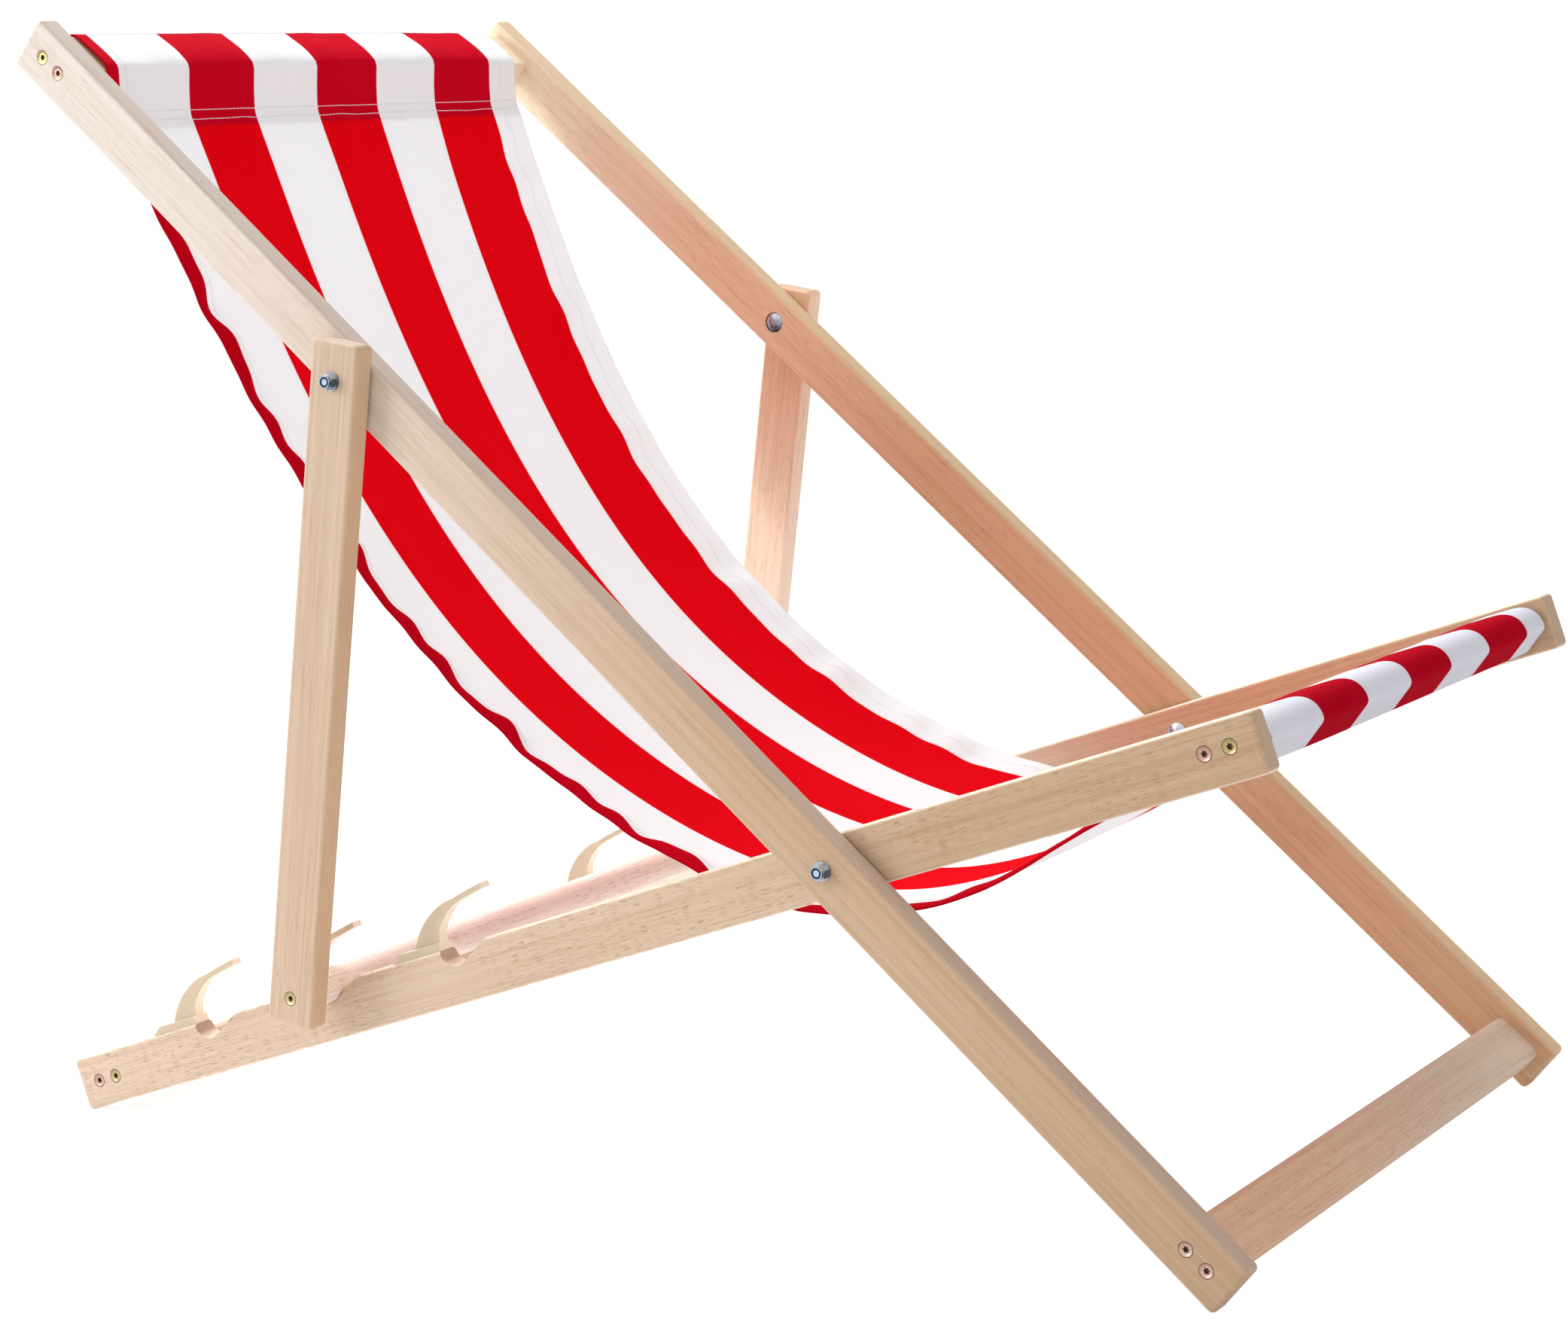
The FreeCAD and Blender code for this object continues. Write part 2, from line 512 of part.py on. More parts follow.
def seat_frame():
    """Left-side and middle pieces of the seat frame, in its own coordinates."""
    x_outer = SEAT_RAIL_X + RAIL_THICKNESS
    front_screws = screw_pair(x_outer, FRONT_CROSSBAR_Y, FRONT_CROSSBAR_LIFT)
    rear_screws = screw_pair(x_outer, REAR_CROSSBAR_Y)
    main_bolt, main_washer, main_nut, main_ring = pivot_hardware(
        SEAT_RAIL_X, LONG_RAIL_X + RAIL_THICKNESS, 0.0)
    spacer = washer(SPACER_DIAMETER, SPACER_THICKNESS, x_outer, 0.0)
    tools = [notch(y) for y in NOTCH_YS] + [hook_peg(y) for y in NOTCH_YS]
    seat_rail = rail(-SEAT_RAIL_TO_FRONT, SEAT_RAIL_TO_REAR, SEAT_RAIL_X)
    seat_rail = seat_rail.cut(tools + [front_screws, rear_screws, main_bolt])
    front_bar = crossbar(
        FRONT_CROSSBAR_Y, FRONT_CROSSBAR_LIFT, SEAT_RAIL_X, FRONT_CROSSBAR_EDGE_RADIUS)
    front_bar = front_bar.cut([front_screws, mirrored(front_screws)])
    rear_bar = crossbar(REAR_CROSSBAR_Y, 0.0, SEAT_RAIL_X, CROSSBAR_EDGE_RADIUS)
    rear_bar = rear_bar.cut([rear_screws, mirrored(rear_screws)])
    sides = {
        "seat_rail": seat_rail, "front_crossbar_screws": front_screws,
        "rear_crossbar_screws": rear_screws, "main_bolt": main_bolt,
        "main_bolt_spacer": spacer, "main_bolt_washer": main_washer, "main_bolt_nut": main_nut,
        "main_bolt_nut_ring": main_ring}
    for number, y in enumerate(NOTCH_YS, start=1):
        sides[f"notch_hook_{number}"] = hook(y)
    middles = {"front_crossbar": front_bar, "rear_crossbar": rear_bar}
    return sides, middles


def prop_frame():
    """Left-side and middle pieces of the prop frame, in its own coordinates."""
    x_outer = PROP_X + RAIL_THICKNESS
    dowel_screw = screw(x_outer, PROP_BOLT_TO_DOWEL)
    prop = rail(-PROP_ABOVE_BOLT, PROP_BOLT_TO_DOWEL + PROP_BELOW_DOWEL, PROP_X)
    bolt_hole = rod(BOLT_DIAMETER / 2 + HINGE_CLEARANCE, PROP_X - CUT_OVERRUN, x_outer + CUT_OVERRUN)
    prop = prop.cut([dowel_screw, bolt_hole])
    dowel = rod(DOWEL_DIAMETER / 2, -PROP_X, PROP_X, PROP_BOLT_TO_DOWEL)
    dowel = dowel.cut([dowel_screw, mirrored(dowel_screw)])
    return {"prop": prop, "dowel_screw": dowel_screw}, {"prop_dowel": dowel}


def chair():
    """Every piece of the chair by name, where it stands."""
    pieces = {"canvas_seat": canvas()}
    for frame, place in (
            (long_frame, on_long_frame), (seat_frame, on_seat_frame), (prop_frame, on_prop_frame)):
        sides, middles = frame()
        for name, shape in sides.items():
            pieces[f"{name}_left"] = place(shape)
            pieces[f"{name}_right"] = place(mirrored(shape))
        for name, shape in middles.items():
            pieces[name] = place(shape)
    return pieces


if __name__ == "__main__":
    os.makedirs("parts", exist_ok=True)
    for name, shape in chair().items():
        shape.exportStep(f"parts/{name}.step")
    print(f"long rails at {math.degrees(LONG_ANGLE):.2f}, seat rails at "
          f"{math.degrees(SEAT_ANGLE):.2f}, props at {math.degrees(PROP_ANGLE):.2f} degrees")
    print(f"main bolt at y {MAIN_BOLT_Y:.2f}, z {MAIN_BOLT_Z:.2f}")
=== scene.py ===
import json
import math

import bpy
import numpy as np
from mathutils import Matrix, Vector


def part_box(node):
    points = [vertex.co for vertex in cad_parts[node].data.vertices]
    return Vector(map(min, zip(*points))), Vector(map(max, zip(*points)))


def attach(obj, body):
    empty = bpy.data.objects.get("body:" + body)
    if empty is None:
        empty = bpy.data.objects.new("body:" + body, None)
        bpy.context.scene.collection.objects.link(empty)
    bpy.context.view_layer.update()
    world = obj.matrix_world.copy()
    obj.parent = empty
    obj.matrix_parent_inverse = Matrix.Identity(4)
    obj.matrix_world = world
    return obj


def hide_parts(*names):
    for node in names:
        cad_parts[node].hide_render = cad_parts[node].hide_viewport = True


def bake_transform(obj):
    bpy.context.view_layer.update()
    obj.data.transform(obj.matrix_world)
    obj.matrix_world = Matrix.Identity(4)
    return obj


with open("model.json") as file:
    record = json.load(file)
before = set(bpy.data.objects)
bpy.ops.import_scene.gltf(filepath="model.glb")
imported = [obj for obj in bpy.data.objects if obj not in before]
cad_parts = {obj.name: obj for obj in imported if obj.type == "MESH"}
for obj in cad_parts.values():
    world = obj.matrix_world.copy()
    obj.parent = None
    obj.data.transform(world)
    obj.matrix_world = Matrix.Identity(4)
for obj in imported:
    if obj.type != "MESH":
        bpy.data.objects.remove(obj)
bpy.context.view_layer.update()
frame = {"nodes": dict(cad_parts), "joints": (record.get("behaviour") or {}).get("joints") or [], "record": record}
joints = {joint["name"]: joint for joint in frame["joints"]}

# Places taken from the frame, in metres. Y and Z pairs lie in the chair's side plane.
MAIN_BOLT = np.array(joints["frame_fold"]["pos_m"][1:])
PROP_BOLT = np.array(joints["prop_swing"]["pos_m"][1:])


def middle(cad_node):
    """Y and Z of the middle of a CAD node's box."""
    low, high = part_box(cad_node)
    return np.array([(low[1] + high[1]) / 2, (low[2] + high[2]) / 2])


def direction(start, end):
    """Unit vector from one Y and Z pair to another."""
    run = np.asarray(end) - np.asarray(start)
    return run / np.hypot(*run)


TOP_BAR = middle("top_crossbar")
FRONT_BAR = middle("front_crossbar")
REAR_BAR = middle("rear_crossbar")
LONG_DIRECTION = direction(MAIN_BOLT, PROP_BOLT)
SEAT_DIRECTION = direction(MAIN_BOLT, REAR_BAR)
PROP_DIRECTION = direction(PROP_BOLT, middle("prop_dowel"))

# The canvas, in metres. STRIPES are the distances from its near edge at which its colour
# changes, from red first. HANG_OFFSETS are the heights of 1, 2, 3 and 4 half waves along it.
CANVAS_WIDTH = 0.480
CANVAS_THICKNESS = 0.0009
STRIPES = (0.0115, 0.084, 0.155, 0.2275, 0.299, 0.370, 0.4445)
SIDE_HEM = 0.0200
HANG_LENGTH = 1.168
HANG_OFFSETS = (-0.0109, -0.0089, -0.0053, -0.0019)
HANG_POINTS = 2400
LINE_STEP = 0.0004
LINE_SOFTNESS = 0.0012

# The sleeves round the end bars, in metres. FRONT_CREASE and FRONT_SLACK are places outwards
# along the rails and upwards from the middle of the front bar.
BAR_HALF_WIDTH = 0.020
BAR_HALF_THICKNESS = 0.011
SLEEVE_GAP = 0.0014
SLEEVE_JOIN = 0.0245
JOIN_GAP = 0.002
SLEEVE_INSET = 0.003
HEM_END = 0.0330
HEM_DROP = 0.0012
TOP_SLEEVE_RADIUS = 0.0045
FRONT_CREASE = (0.0234, -0.0046)
FRONT_CREASE_START = 0.0034
FRONT_CREASE_POWER = 0.83
FRONT_SLACK = ((-0.0200, -0.0140), (-0.0030, -0.0174), (0.0050, -0.0170))

# How wide the canvas is and how far to the left its middle is, each as a start at the head, a
# change by the share of the way to the front and one by that share's cube. WAIST narrows it.
WIDTH_ALONG = (CANVAS_WIDTH, -0.027, 0.0165)
LEFT_ALONG = (-0.0030, -0.0060, 0.0078)
WAIST = 0.034

# How far its edges stand up, its sides fall from the middle and its near edge stands up and
# pulls in along the back. Each bulge is a height, a share of the way down and a spread.
EDGE_REACH = 0.055
NEAR_EDGE_LIFT = 0.0160
FAR_EDGE_LIFT = 0.0215
CROWN = 0.0128
NEAR_BACK_LIFT = 0.014
NEAR_BACK_PULL = 0.010
BACK_SHARE = 0.72
FRONT_BULGE = (0.0070, 0.88, 0.07)
NEAR_BULGE = (0.0088, 0.925, 0.045)
NEAR_BULGE_REACH = 0.024
FAR_BULGE = (0.0068, 0.86, 0.06)
FAR_BULGE_FROM = (0.13, 0.24)
BULGE_END = 0.955

# Puckers and folds as sums of sines, each with its height, length and phase. A band is the
# distance of a hem's middle from its edge, and its spread.
NEAR_PUCKERS = ((0.0016, 0.086, 0.4), (0.0012, 0.059, 1.9), (0.0008, 0.037, 0.3))
FAR_PUCKERS = ((0.0014, 0.094, 2.2), (0.0012, 0.057, 0.6), (0.0008, 0.039, 1.2))
NEAR_BAND = (0.0145, 0.0065)
FAR_BAND = (0.0190, 0.0130)
HEM_SINK = 0.0009
EDGE_CURL = 0.0035
CURL_REACH = 0.012
SLEEVE_FOLDS = ((0.0008, 0.061, 0.7), (0.0006, 0.037, 2.9), (0.0004, 0.171, 1.0))
CREST_PUFF = 0.0045
TUCK_BACK = 0.0022
TUCK_ASIDE = 0.0007

# The sewing, in metres. A stitch is its spacing, its length and its thread's radius.
STITCH_ROWS = (0.0210, 0.0280)
SLEEVE_STITCH = (0.0034, 0.0031, 0.00036)
SIDE_STITCH = (0.0032, 0.0031, 0.00026)
SIDE_STITCH_INSET = 0.0015

# The screws' heads, in metres
HEAD_RADIUS = 0.0047
RECESS_RADIUS = 0.0020
RECESS_LOBES = 6
SCREW_SPACING = 0.018

# The photograph's view: its size and lens in pixels, then metres and degrees
PHOTO_SIZE = (2083, 1764)
LENS_CENTRE = (1160.0, 850.0)
FOCAL_LENGTH = 4539.2
SENSOR_WIDTH = 36.0
CAMERA_PLACE = (-2.08025, -1.34722, 0.74253)
CAMERA_ANGLES = (58.423, -9.042, -1.823)

# Light: each lamp is its place, its aim, its size in metres and its power in watts
WORLD_LIGHT = 0.54
LAMPS = {
    "back_light": ((0.5, 1.7, 2.6), (0.0, 0.0, 0.4), 2.2, 105),
    "rear_left_light": ((-2.2, 2.3, 1.5), (0.0, 0.3, 0.5), 1.6, 42),
    "front_light": ((-1.0, -3.2, 2.2), (0.0, 0.0, 0.4), 2.2, 26),
}
FLOOR_HALF_SIZE = 6.0
FLOOR_GLOW = 1.35
FLOOR_GLOW_SHARE = 0.62


def new_mesh_piece(name, points, faces, smooth=True):
    """A mesh object at the origin from arrays of points and faces."""
    mesh = bpy.data.meshes.new(name)
    mesh.from_pydata(np.asarray(points, float).tolist(), [], [list(face) for face in faces])
    mesh.polygons.foreach_set("use_smooth", np.full(len(mesh.polygons), smooth))
    mesh.update()
    piece = bpy.data.objects.new(name, mesh)
    bpy.context.scene.collection.objects.link(piece)
    return piece


def grid_faces(rows, columns, closed=False):
    """Quads between the points of a grid whose last index runs along a row."""
    index = np.arange(rows * columns).reshape(rows, columns)
    right = np.roll(index, -1, axis=1) if closed else index[:, 1:]
    left = index if closed else index[:, :-1]
    corners = [left[:-1], right[:-1], right[1:], left[1:]]
    return np.stack([c.ravel() for c in corners], axis=1)


def catenary(start, end, length, count):
    """Points of a line that hangs between two points: height is scale times cosh of distance.

    The scale is found by halving an interval until the curve's length is right.
    """
    span = start[0] - end[0]
    rise = start[1] - end[1]
    slack = math.sqrt(length ** 2 - rise ** 2) / span
    low, high = 1e-3, 20.0
    for _ in range(80):
        half = (low + high) / 2
        low, high = (half, high) if math.sinh(half) / half < slack else (low, half)
    scale = span / (2 * half)
    shift = math.atanh(rise / length)
    turn = np.linspace(half + shift, shift - half, count)
    y = end[0] + scale * (turn + half - shift)
    z = start[1] - scale * math.cosh(half + shift) + scale * np.cosh(turn)
    return np.stack([y, z], axis=1)


def along(points):
    """Distance along a line of points, from its first."""
    steps = np.hypot(*np.diff(points, axis=0).T)
    return np.concatenate([[0.0], np.cumsum(steps)])


def resampled(points, step):
    """The same line with evenly spaced points."""
    distance = along(points)
    places = np.linspace(0.0, distance[-1], int(distance[-1] / step) + 1)
    return np.stack([np.interp(places, distance, points[:, i]) for i in (0, 1)], axis=1)


def softened(points, reach):
    """A line with its corners rounded: each point is the bell-weighted mean of its neighbours."""
    step = along(points)[1]
    window = np.arange(-int(4 * reach / step), int(4 * reach / step) + 1) * step
    weights = np.exp(-0.5 * (window / reach) ** 2)
    weights /= weights.sum()
    pad = len(window) // 2
    steps_in = points[0] - points[1]
    steps_out = points[-1] - points[-2]
    before = points[0] + steps_in * np.arange(pad, 0, -1)[:, None]
    after = points[-1] + steps_out * np.arange(1, pad + 1)[:, None]
    whole = np.concatenate([before, points, after])
    return np.stack([np.convolve(whole[:, i], weights, "valid") for i in (0, 1)], axis=1)


def tight_section(radius):
    """The cloth round a bar, from under its inner edge to over it, as (outward, upward) places."""
    across = BAR_HALF_WIDTH + SLEEVE_GAP
    half = BAR_HALF_THICKNESS + SLEEVE_GAP
    turns = np.linspace(-math.pi / 2, 0.0, 9)
    lower = [(across - radius + radius * math.cos(t), radius - half + radius * math.sin(t))
             for t in turns]
    upper = [(o, -n) for o, n in reversed(lower)]
    return [(SLEEVE_INSET - across, -half)] + lower + upper + [(SLEEVE_INSET - across, half)]


def creased_section(crease, start, power, slack):
    """The cloth round a bar, slack below it and folded at a crease on its outer side.

    From the crease to its start over the bar's upper face it follows a quarter of a
    superellipse.
    """
    half = BAR_HALF_THICKNESS + SLEEVE_GAP
    turns = np.linspace(0.0, math.pi / 2, 13)
    upper = [(start + (crease[0] - start) * math.cos(t) ** power,
              crease[1] + (half - crease[1]) * math.sin(t) ** power) for t in turns]
    return [*slack, *upper, (SLEEVE_INSET - BAR_HALF_WIDTH - SLEEVE_GAP, half)]


def sleeve_line(bar, outward, section, join, hem_end):
    """The cloth's way round an end bar, from the hem's end behind the sheet to the join in front.

    outward points along the rails from the sheet to the bar's far edge.
    """
    upward = np.array([-outward[1], outward[0]])
    upward = upward if upward[1] > 0 else -upward
    around = [bar + o * outward + n * upward for o, n in section]
    behind = -HEM_DROP * upward
    return np.array([hem_end + behind, join + behind] + around + [join])


def canvas_line():
    """The canvas's middle line in the side plane, and where its parts begin along it.

    The hang is a catenary plus a few half waves along its normal.
    """
    inset = BAR_HALF_WIDTH + SLEEVE_GAP
    hang = catenary(TOP_BAR - inset * LONG_DIRECTION, FRONT_BAR + inset * SEAT_DIRECTION,
                    HANG_LENGTH, HANG_POINTS)
    share = np.linspace(0.0, 1.0, len(hang))
    slope = np.gradient(hang, axis=0)
    slope /= np.hypot(slope[:, 0], slope[:, 1])[:, None]
    bulge = sum(size * np.sin((i + 1) * math.pi * share) for i, size in enumerate(HANG_OFFSETS))
    hang = hang + bulge[:, None] * np.stack([slope[:, 1], -slope[:, 0]], axis=1)
    distance = along(hang)
    total = distance[-1]

    def on_hang(place):
        return np.array([np.interp(place, distance, hang[:, i]) for i in (0, 1)])

    tight = tight_section(TOP_SLEEVE_RADIUS)
    creased = creased_section(FRONT_CREASE, FRONT_CREASE_START, FRONT_CREASE_POWER, FRONT_SLACK)
    top = sleeve_line(TOP_BAR, LONG_DIRECTION, tight, on_hang(SLEEVE_JOIN), on_hang(HEM_END))
    front = sleeve_line(
        FRONT_BAR, -SEAT_DIRECTION, creased, on_hang(total - SLEEVE_JOIN), on_hang(total - HEM_END))
    from_end = np.minimum(distance, total - distance)
    kept = hang[from_end > SLEEVE_JOIN + JOIN_GAP]
    line = np.concatenate([top, kept, front[::-1]])
    line = softened(resampled(line, LINE_STEP), LINE_SOFTNESS)
    top_join = along(top)[-1]
    front_join = along(line)[-1] - along(front)[-1]
    return line, top_join, front_join


LINE, TOP_JOIN, FRONT_JOIN = canvas_line()
LINE_DISTANCE = along(LINE)
LINE_LENGTH = LINE_DISTANCE[-1]
TANGENT = np.gradient(LINE, LINE_DISTANCE, axis=0)
TANGENT /= np.hypot(TANGENT[:, 0], TANGENT[:, 1])[:, None]


def bell(value, centre, width):
    """1 at the centre and falling away on both sides, as the exponential of minus a square."""
    return np.exp(-0.5 * ((value - centre) / width) ** 2)


def ramp(value, start, end):
    """0 before start, 1 after end, smooth between."""
    share = np.clip((value - start) / (end - start), 0.0, 1.0)
    return share * share * (3 - 2 * share)


def ripple(place, waves):
    """Sum of sines, given as (height, length, phase)."""
    return sum(height * np.sin(2 * math.pi * place / length + phase)
               for height, length, phase in waves)


def eased(down, start, change, cubed):
    """A start, a change in proportion to the share down, and one in proportion to its cube."""
    return start + change * down + cubed * down ** 3


def hang_shape(across, down):
    """X and the height along the line's normal, from the cloth's place and its share down.

    X runs between two edges that draw in towards the waist. Both edges stand up by an
    exponential of the distance from them, the sides fall from the middle as a parabola, and
    bells are added before the front bar. All but the bells follow a sine from the head to
    the front, or along the back.
    """
    sag = np.sin(math.pi * down)
    back = np.sin(math.pi * np.clip(down / BACK_SHARE, 0.0, 1.0))
    near_side = np.exp(-(across / EDGE_REACH) ** 1.5)
    far_side = np.exp(-((CANVAS_WIDTH - across) / EDGE_REACH) ** 1.5)
    width = eased(down, *WIDTH_ALONG) - WAIST * sag ** 0.8
    x = eased(down, *LEFT_ALONG) + width * (across / CANVAS_WIDTH - 0.5)
    x = x + NEAR_BACK_PULL * near_side * back
    lift = (NEAR_EDGE_LIFT * near_side + FAR_EDGE_LIFT * far_side
            - CROWN * (2 * across / CANVAS_WIDTH - 1) ** 2) * sag ** 0.6
    lift = lift + NEAR_BACK_LIFT * near_side * back ** 0.7
    lift = lift + FRONT_BULGE[0] * bell(down, *FRONT_BULGE[1:]) * (1 - near_side)
    bulges = (NEAR_BULGE[0] * bell(down, *NEAR_BULGE[1:]) * bell(across, 0.0, NEAR_BULGE_REACH)
              + FAR_BULGE[0] * bell(down, *FAR_BULGE[1:]) * ramp(across, *FAR_BULGE_FROM))
    return x, lift + bulges * (1 - ramp(down, BULGE_END, 1.0))


def hem_puckers(across, place, down):
    """X and height that the side hems' puckers add between the sleeves.

    The waves run along each hem, strongest over its middle, and the near edge curls down.
    """
    to_far = CANVAS_WIDTH - across
    hanging = (ramp(place, TOP_JOIN - 0.01, TOP_JOIN + 0.05)
               * (1 - ramp(place, FRONT_JOIN - 0.05, FRONT_JOIN + 0.01)))
    near_waves = ripple(place, NEAR_PUCKERS) * (1 - 0.7 * ramp(down, 0.62, 0.78))
    far_waves = ripple(place, FAR_PUCKERS)
    x = 0.5 * (bell(across, 0.0, SIDE_HEM) * near_waves - bell(to_far, 0.0, SIDE_HEM) * far_waves)
    lift = (bell(across, *NEAR_BAND) * (1.5 * near_waves - HEM_SINK)
            - EDGE_CURL * np.clip(1 - across / CURL_REACH, 0, 1) ** 2
            + 1.3 * bell(to_far, *FAR_BAND) * far_waves)
    return hanging * x, hanging * lift


def sleeve_folds(across, place):
    """Height of the loose folds at each sleeve's seam, and of the top sleeve's puffed crest.

    The puff is less near both edges, and a bell round the crest carries it.
    """
    folds = ripple(across, SLEEVE_FOLDS)
    seams = bell(place, TOP_JOIN + 0.006, 0.020) + bell(place, FRONT_JOIN - 0.006, 0.020)
    puff = (CREST_PUFF - 0.0030 * bell(across, 0.0, 0.045)
            - 0.0020 * bell(CANVAS_WIDTH - across, 0.0, 0.04))
    crest = bell(place, TOP_JOIN - 0.045, 0.017)
    return folds * seams + crest * (puff + np.clip(folds, -0.0003, 1.0))


def canvas_surface(across, place):
    """Points of the canvas: across is metres from its near edge, place metres along its line.

    The line sets Y and Z, and the hang, the puckers and the folds are added along its normal.
    The front sleeve's near end is tucked back along the rail.
    """
    y, z = (np.interp(place, LINE_DISTANCE, LINE[:, i]) for i in (0, 1))
    ty, tz = (np.interp(place, LINE_DISTANCE, TANGENT[:, i]) for i in (0, 1))
    down = np.clip((place - TOP_JOIN) / (FRONT_JOIN - TOP_JOIN), 0.0, 1.0)
    x, lift = hang_shape(across, down)
    sideways, puckers = hem_puckers(across, place, down)
    lift = lift + puckers + sleeve_folds(across, place)
    tuck = bell(across, 0.0, 0.012) * ramp(place, FRONT_JOIN, FRONT_JOIN + 0.01)
    x = x + sideways - TUCK_ASIDE * tuck
    y = y + tz * lift + TUCK_BACK * tuck * SEAT_DIRECTION[0]
    z = z - ty * lift + TUCK_BACK * tuck * SEAT_DIRECTION[1]
    return np.stack([x, y, z], axis=-1)


def canvas_piece():
    """The canvas as one sheet with its own UV map, in metres across and along the cloth.

    Its grid is finer over the side hems and round the end bars.
    """
    across = np.concatenate([
        np.arange(0.0, 0.030, 0.0015), np.linspace(0.030, CANVAS_WIDTH - 0.028, 46),
        np.arange(CANVAS_WIDTH - 0.026, CANVAS_WIDTH - 1e-5, 0.002), [CANVAS_WIDTH]])
    place = np.concatenate([
        np.arange(0.0, TOP_JOIN + 0.02, 0.0024),
        np.linspace(TOP_JOIN + 0.022, FRONT_JOIN - 0.022, 236),
        np.arange(FRONT_JOIN - 0.02, LINE_LENGTH, 0.0016)])
    u, v = np.meshgrid(across, place)
    points = canvas_surface(u, v).reshape(-1, 3)
    faces = grid_faces(len(place), len(across))
    piece = new_mesh_piece("canvas_cloth", points, faces)
    layer = piece.data.uv_layers.new(name="UVMap")
    corner = np.empty(len(piece.data.loops), int)
    piece.data.loops.foreach_get("vertex_index", corner)
    flat = np.stack([u.ravel(), v.ravel()], axis=1)
    layer.data.foreach_set("uv", flat[corner].ravel())
    solid = piece.modifiers.new("thickness", "SOLIDIFY")
    solid.thickness = CANVAS_THICKNESS
    solid.offset = 0.0
    return piece


def stitch_row(across, place, gap, length, thread):
    """Short round threads along a row on the canvas, given by its ends in cloth coordinates.

    Each thread is a tube of six sides whose radius falls towards its ends and whose middle
    stands just clear of the cloth. Its frame comes from the surface a nudge away.
    """
    start = np.array([across[0], place[0]])
    end = np.array([across[1], place[1]])
    whole = np.hypot(*(end - start))
    count = int(whole / gap)
    heading = (end - start) / whole
    sides = 6
    nudge = 1e-4
    rings = np.array([-0.5, -0.40, 0.0, 0.40, 0.5])
    radii = np.array([0.15, 0.8, 1.0, 0.8, 0.15]) * thread
    centres = (np.arange(count) + 0.5) * gap
    runs = centres[:, None] + rings[None, :] * length
    cloth = start[None, None, :] + heading[None, None, :] * runs[..., None]
    u, v = cloth[..., 0], cloth[..., 1]
    spots = canvas_surface(u, v)
    beside = canvas_surface(u - heading[1] * nudge, v + heading[0] * nudge)
    ahead = canvas_surface(u + heading[0] * nudge, v + heading[1] * nudge)
    side = beside - spots
    side /= np.linalg.norm(side, axis=-1, keepdims=True)
    up = np.cross(side, ahead - spots)
    up /= np.linalg.norm(up, axis=-1, keepdims=True)
    spots = spots + up * (CANVAS_THICKNESS / 2 + 0.3 * thread)
    turn = np.linspace(0, 2 * math.pi, sides, endpoint=False)[:, None]
    ring = side[..., None, :] * np.cos(turn) + up[..., None, :] * np.sin(turn)
    points = spots[..., None, :] + ring * radii[None, :, None, None]
    one = grid_faces(len(rings), sides, closed=True)
    shift = np.arange(count)[:, None, None] * len(rings) * sides
    return points.reshape(-1, 3), (one[None] + shift).reshape(-1, 4)


def stitching_piece():
    """All rows of stitches on the canvas: two at each sleeve and one along each side hem."""
    seams = [TOP_JOIN + row - SLEEVE_JOIN for row in STITCH_ROWS]
    seams += [FRONT_JOIN - row + SLEEVE_JOIN for row in STITCH_ROWS]
    hem = SIDE_HEM - SIDE_STITCH_INSET
    rows = [stitch_row((0.003, CANVAS_WIDTH - 0.003), (place, place), *SLEEVE_STITCH)
            for place in seams]
    rows += [stitch_row((across, across), (0.002, LINE_LENGTH - 0.002), *SIDE_STITCH)
             for across in (hem, CANVAS_WIDTH - hem)]
    points, faces, count = [], [], 0
    for spots, quads in rows:
        points.append(spots)
        faces.append(quads + count)
        count += len(spots)
    return new_mesh_piece("canvas_stitching", np.concatenate(points), np.concatenate(faces))


def turned_rings(cad_node, offsets, rings, count):
    """Rings of points round axes along X at a node's outer face, and quads between them.

    offsets are Y and Z places of the axes from the node's middle. Each ring is given as
    (radius, depth) from the outer face, where the radius may be a value for each of the
    count points round the ring. Returns points, quads and the caps over the last rings.
    """
    low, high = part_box(cad_node)
    side = 1.0 if high[0] > 0 else -1.0
    outer = high[0] if side > 0 else low[0]
    turn = -side * np.arange(count) * 2 * math.pi / count
    points, quads, caps = [], [], []
    for y, z in middle(cad_node) + np.asarray(offsets):
        start = sum(len(block) for block in points)
        for radius, depth in rings:
            radius = radius * np.ones(count)
            points.append(np.stack([np.full(count, outer - side * depth),
                                    y + radius * np.cos(turn), z + radius * np.sin(turn)], axis=1))
        caps.append(start + (len(rings) - 1) * count + np.arange(count)[::-1])
        quads += (start + grid_faces(len(rings), count, closed=True)).tolist()
    return np.concatenate(points), quads, caps


def ride_with(piece, cad_node):
    """The piece moves with the body that a CAD node belongs to."""
    bodies = frame["record"]["behaviour"]["bodies"]
    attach(piece, next(body for body, nodes in bodies.items() if cad_node in nodes))


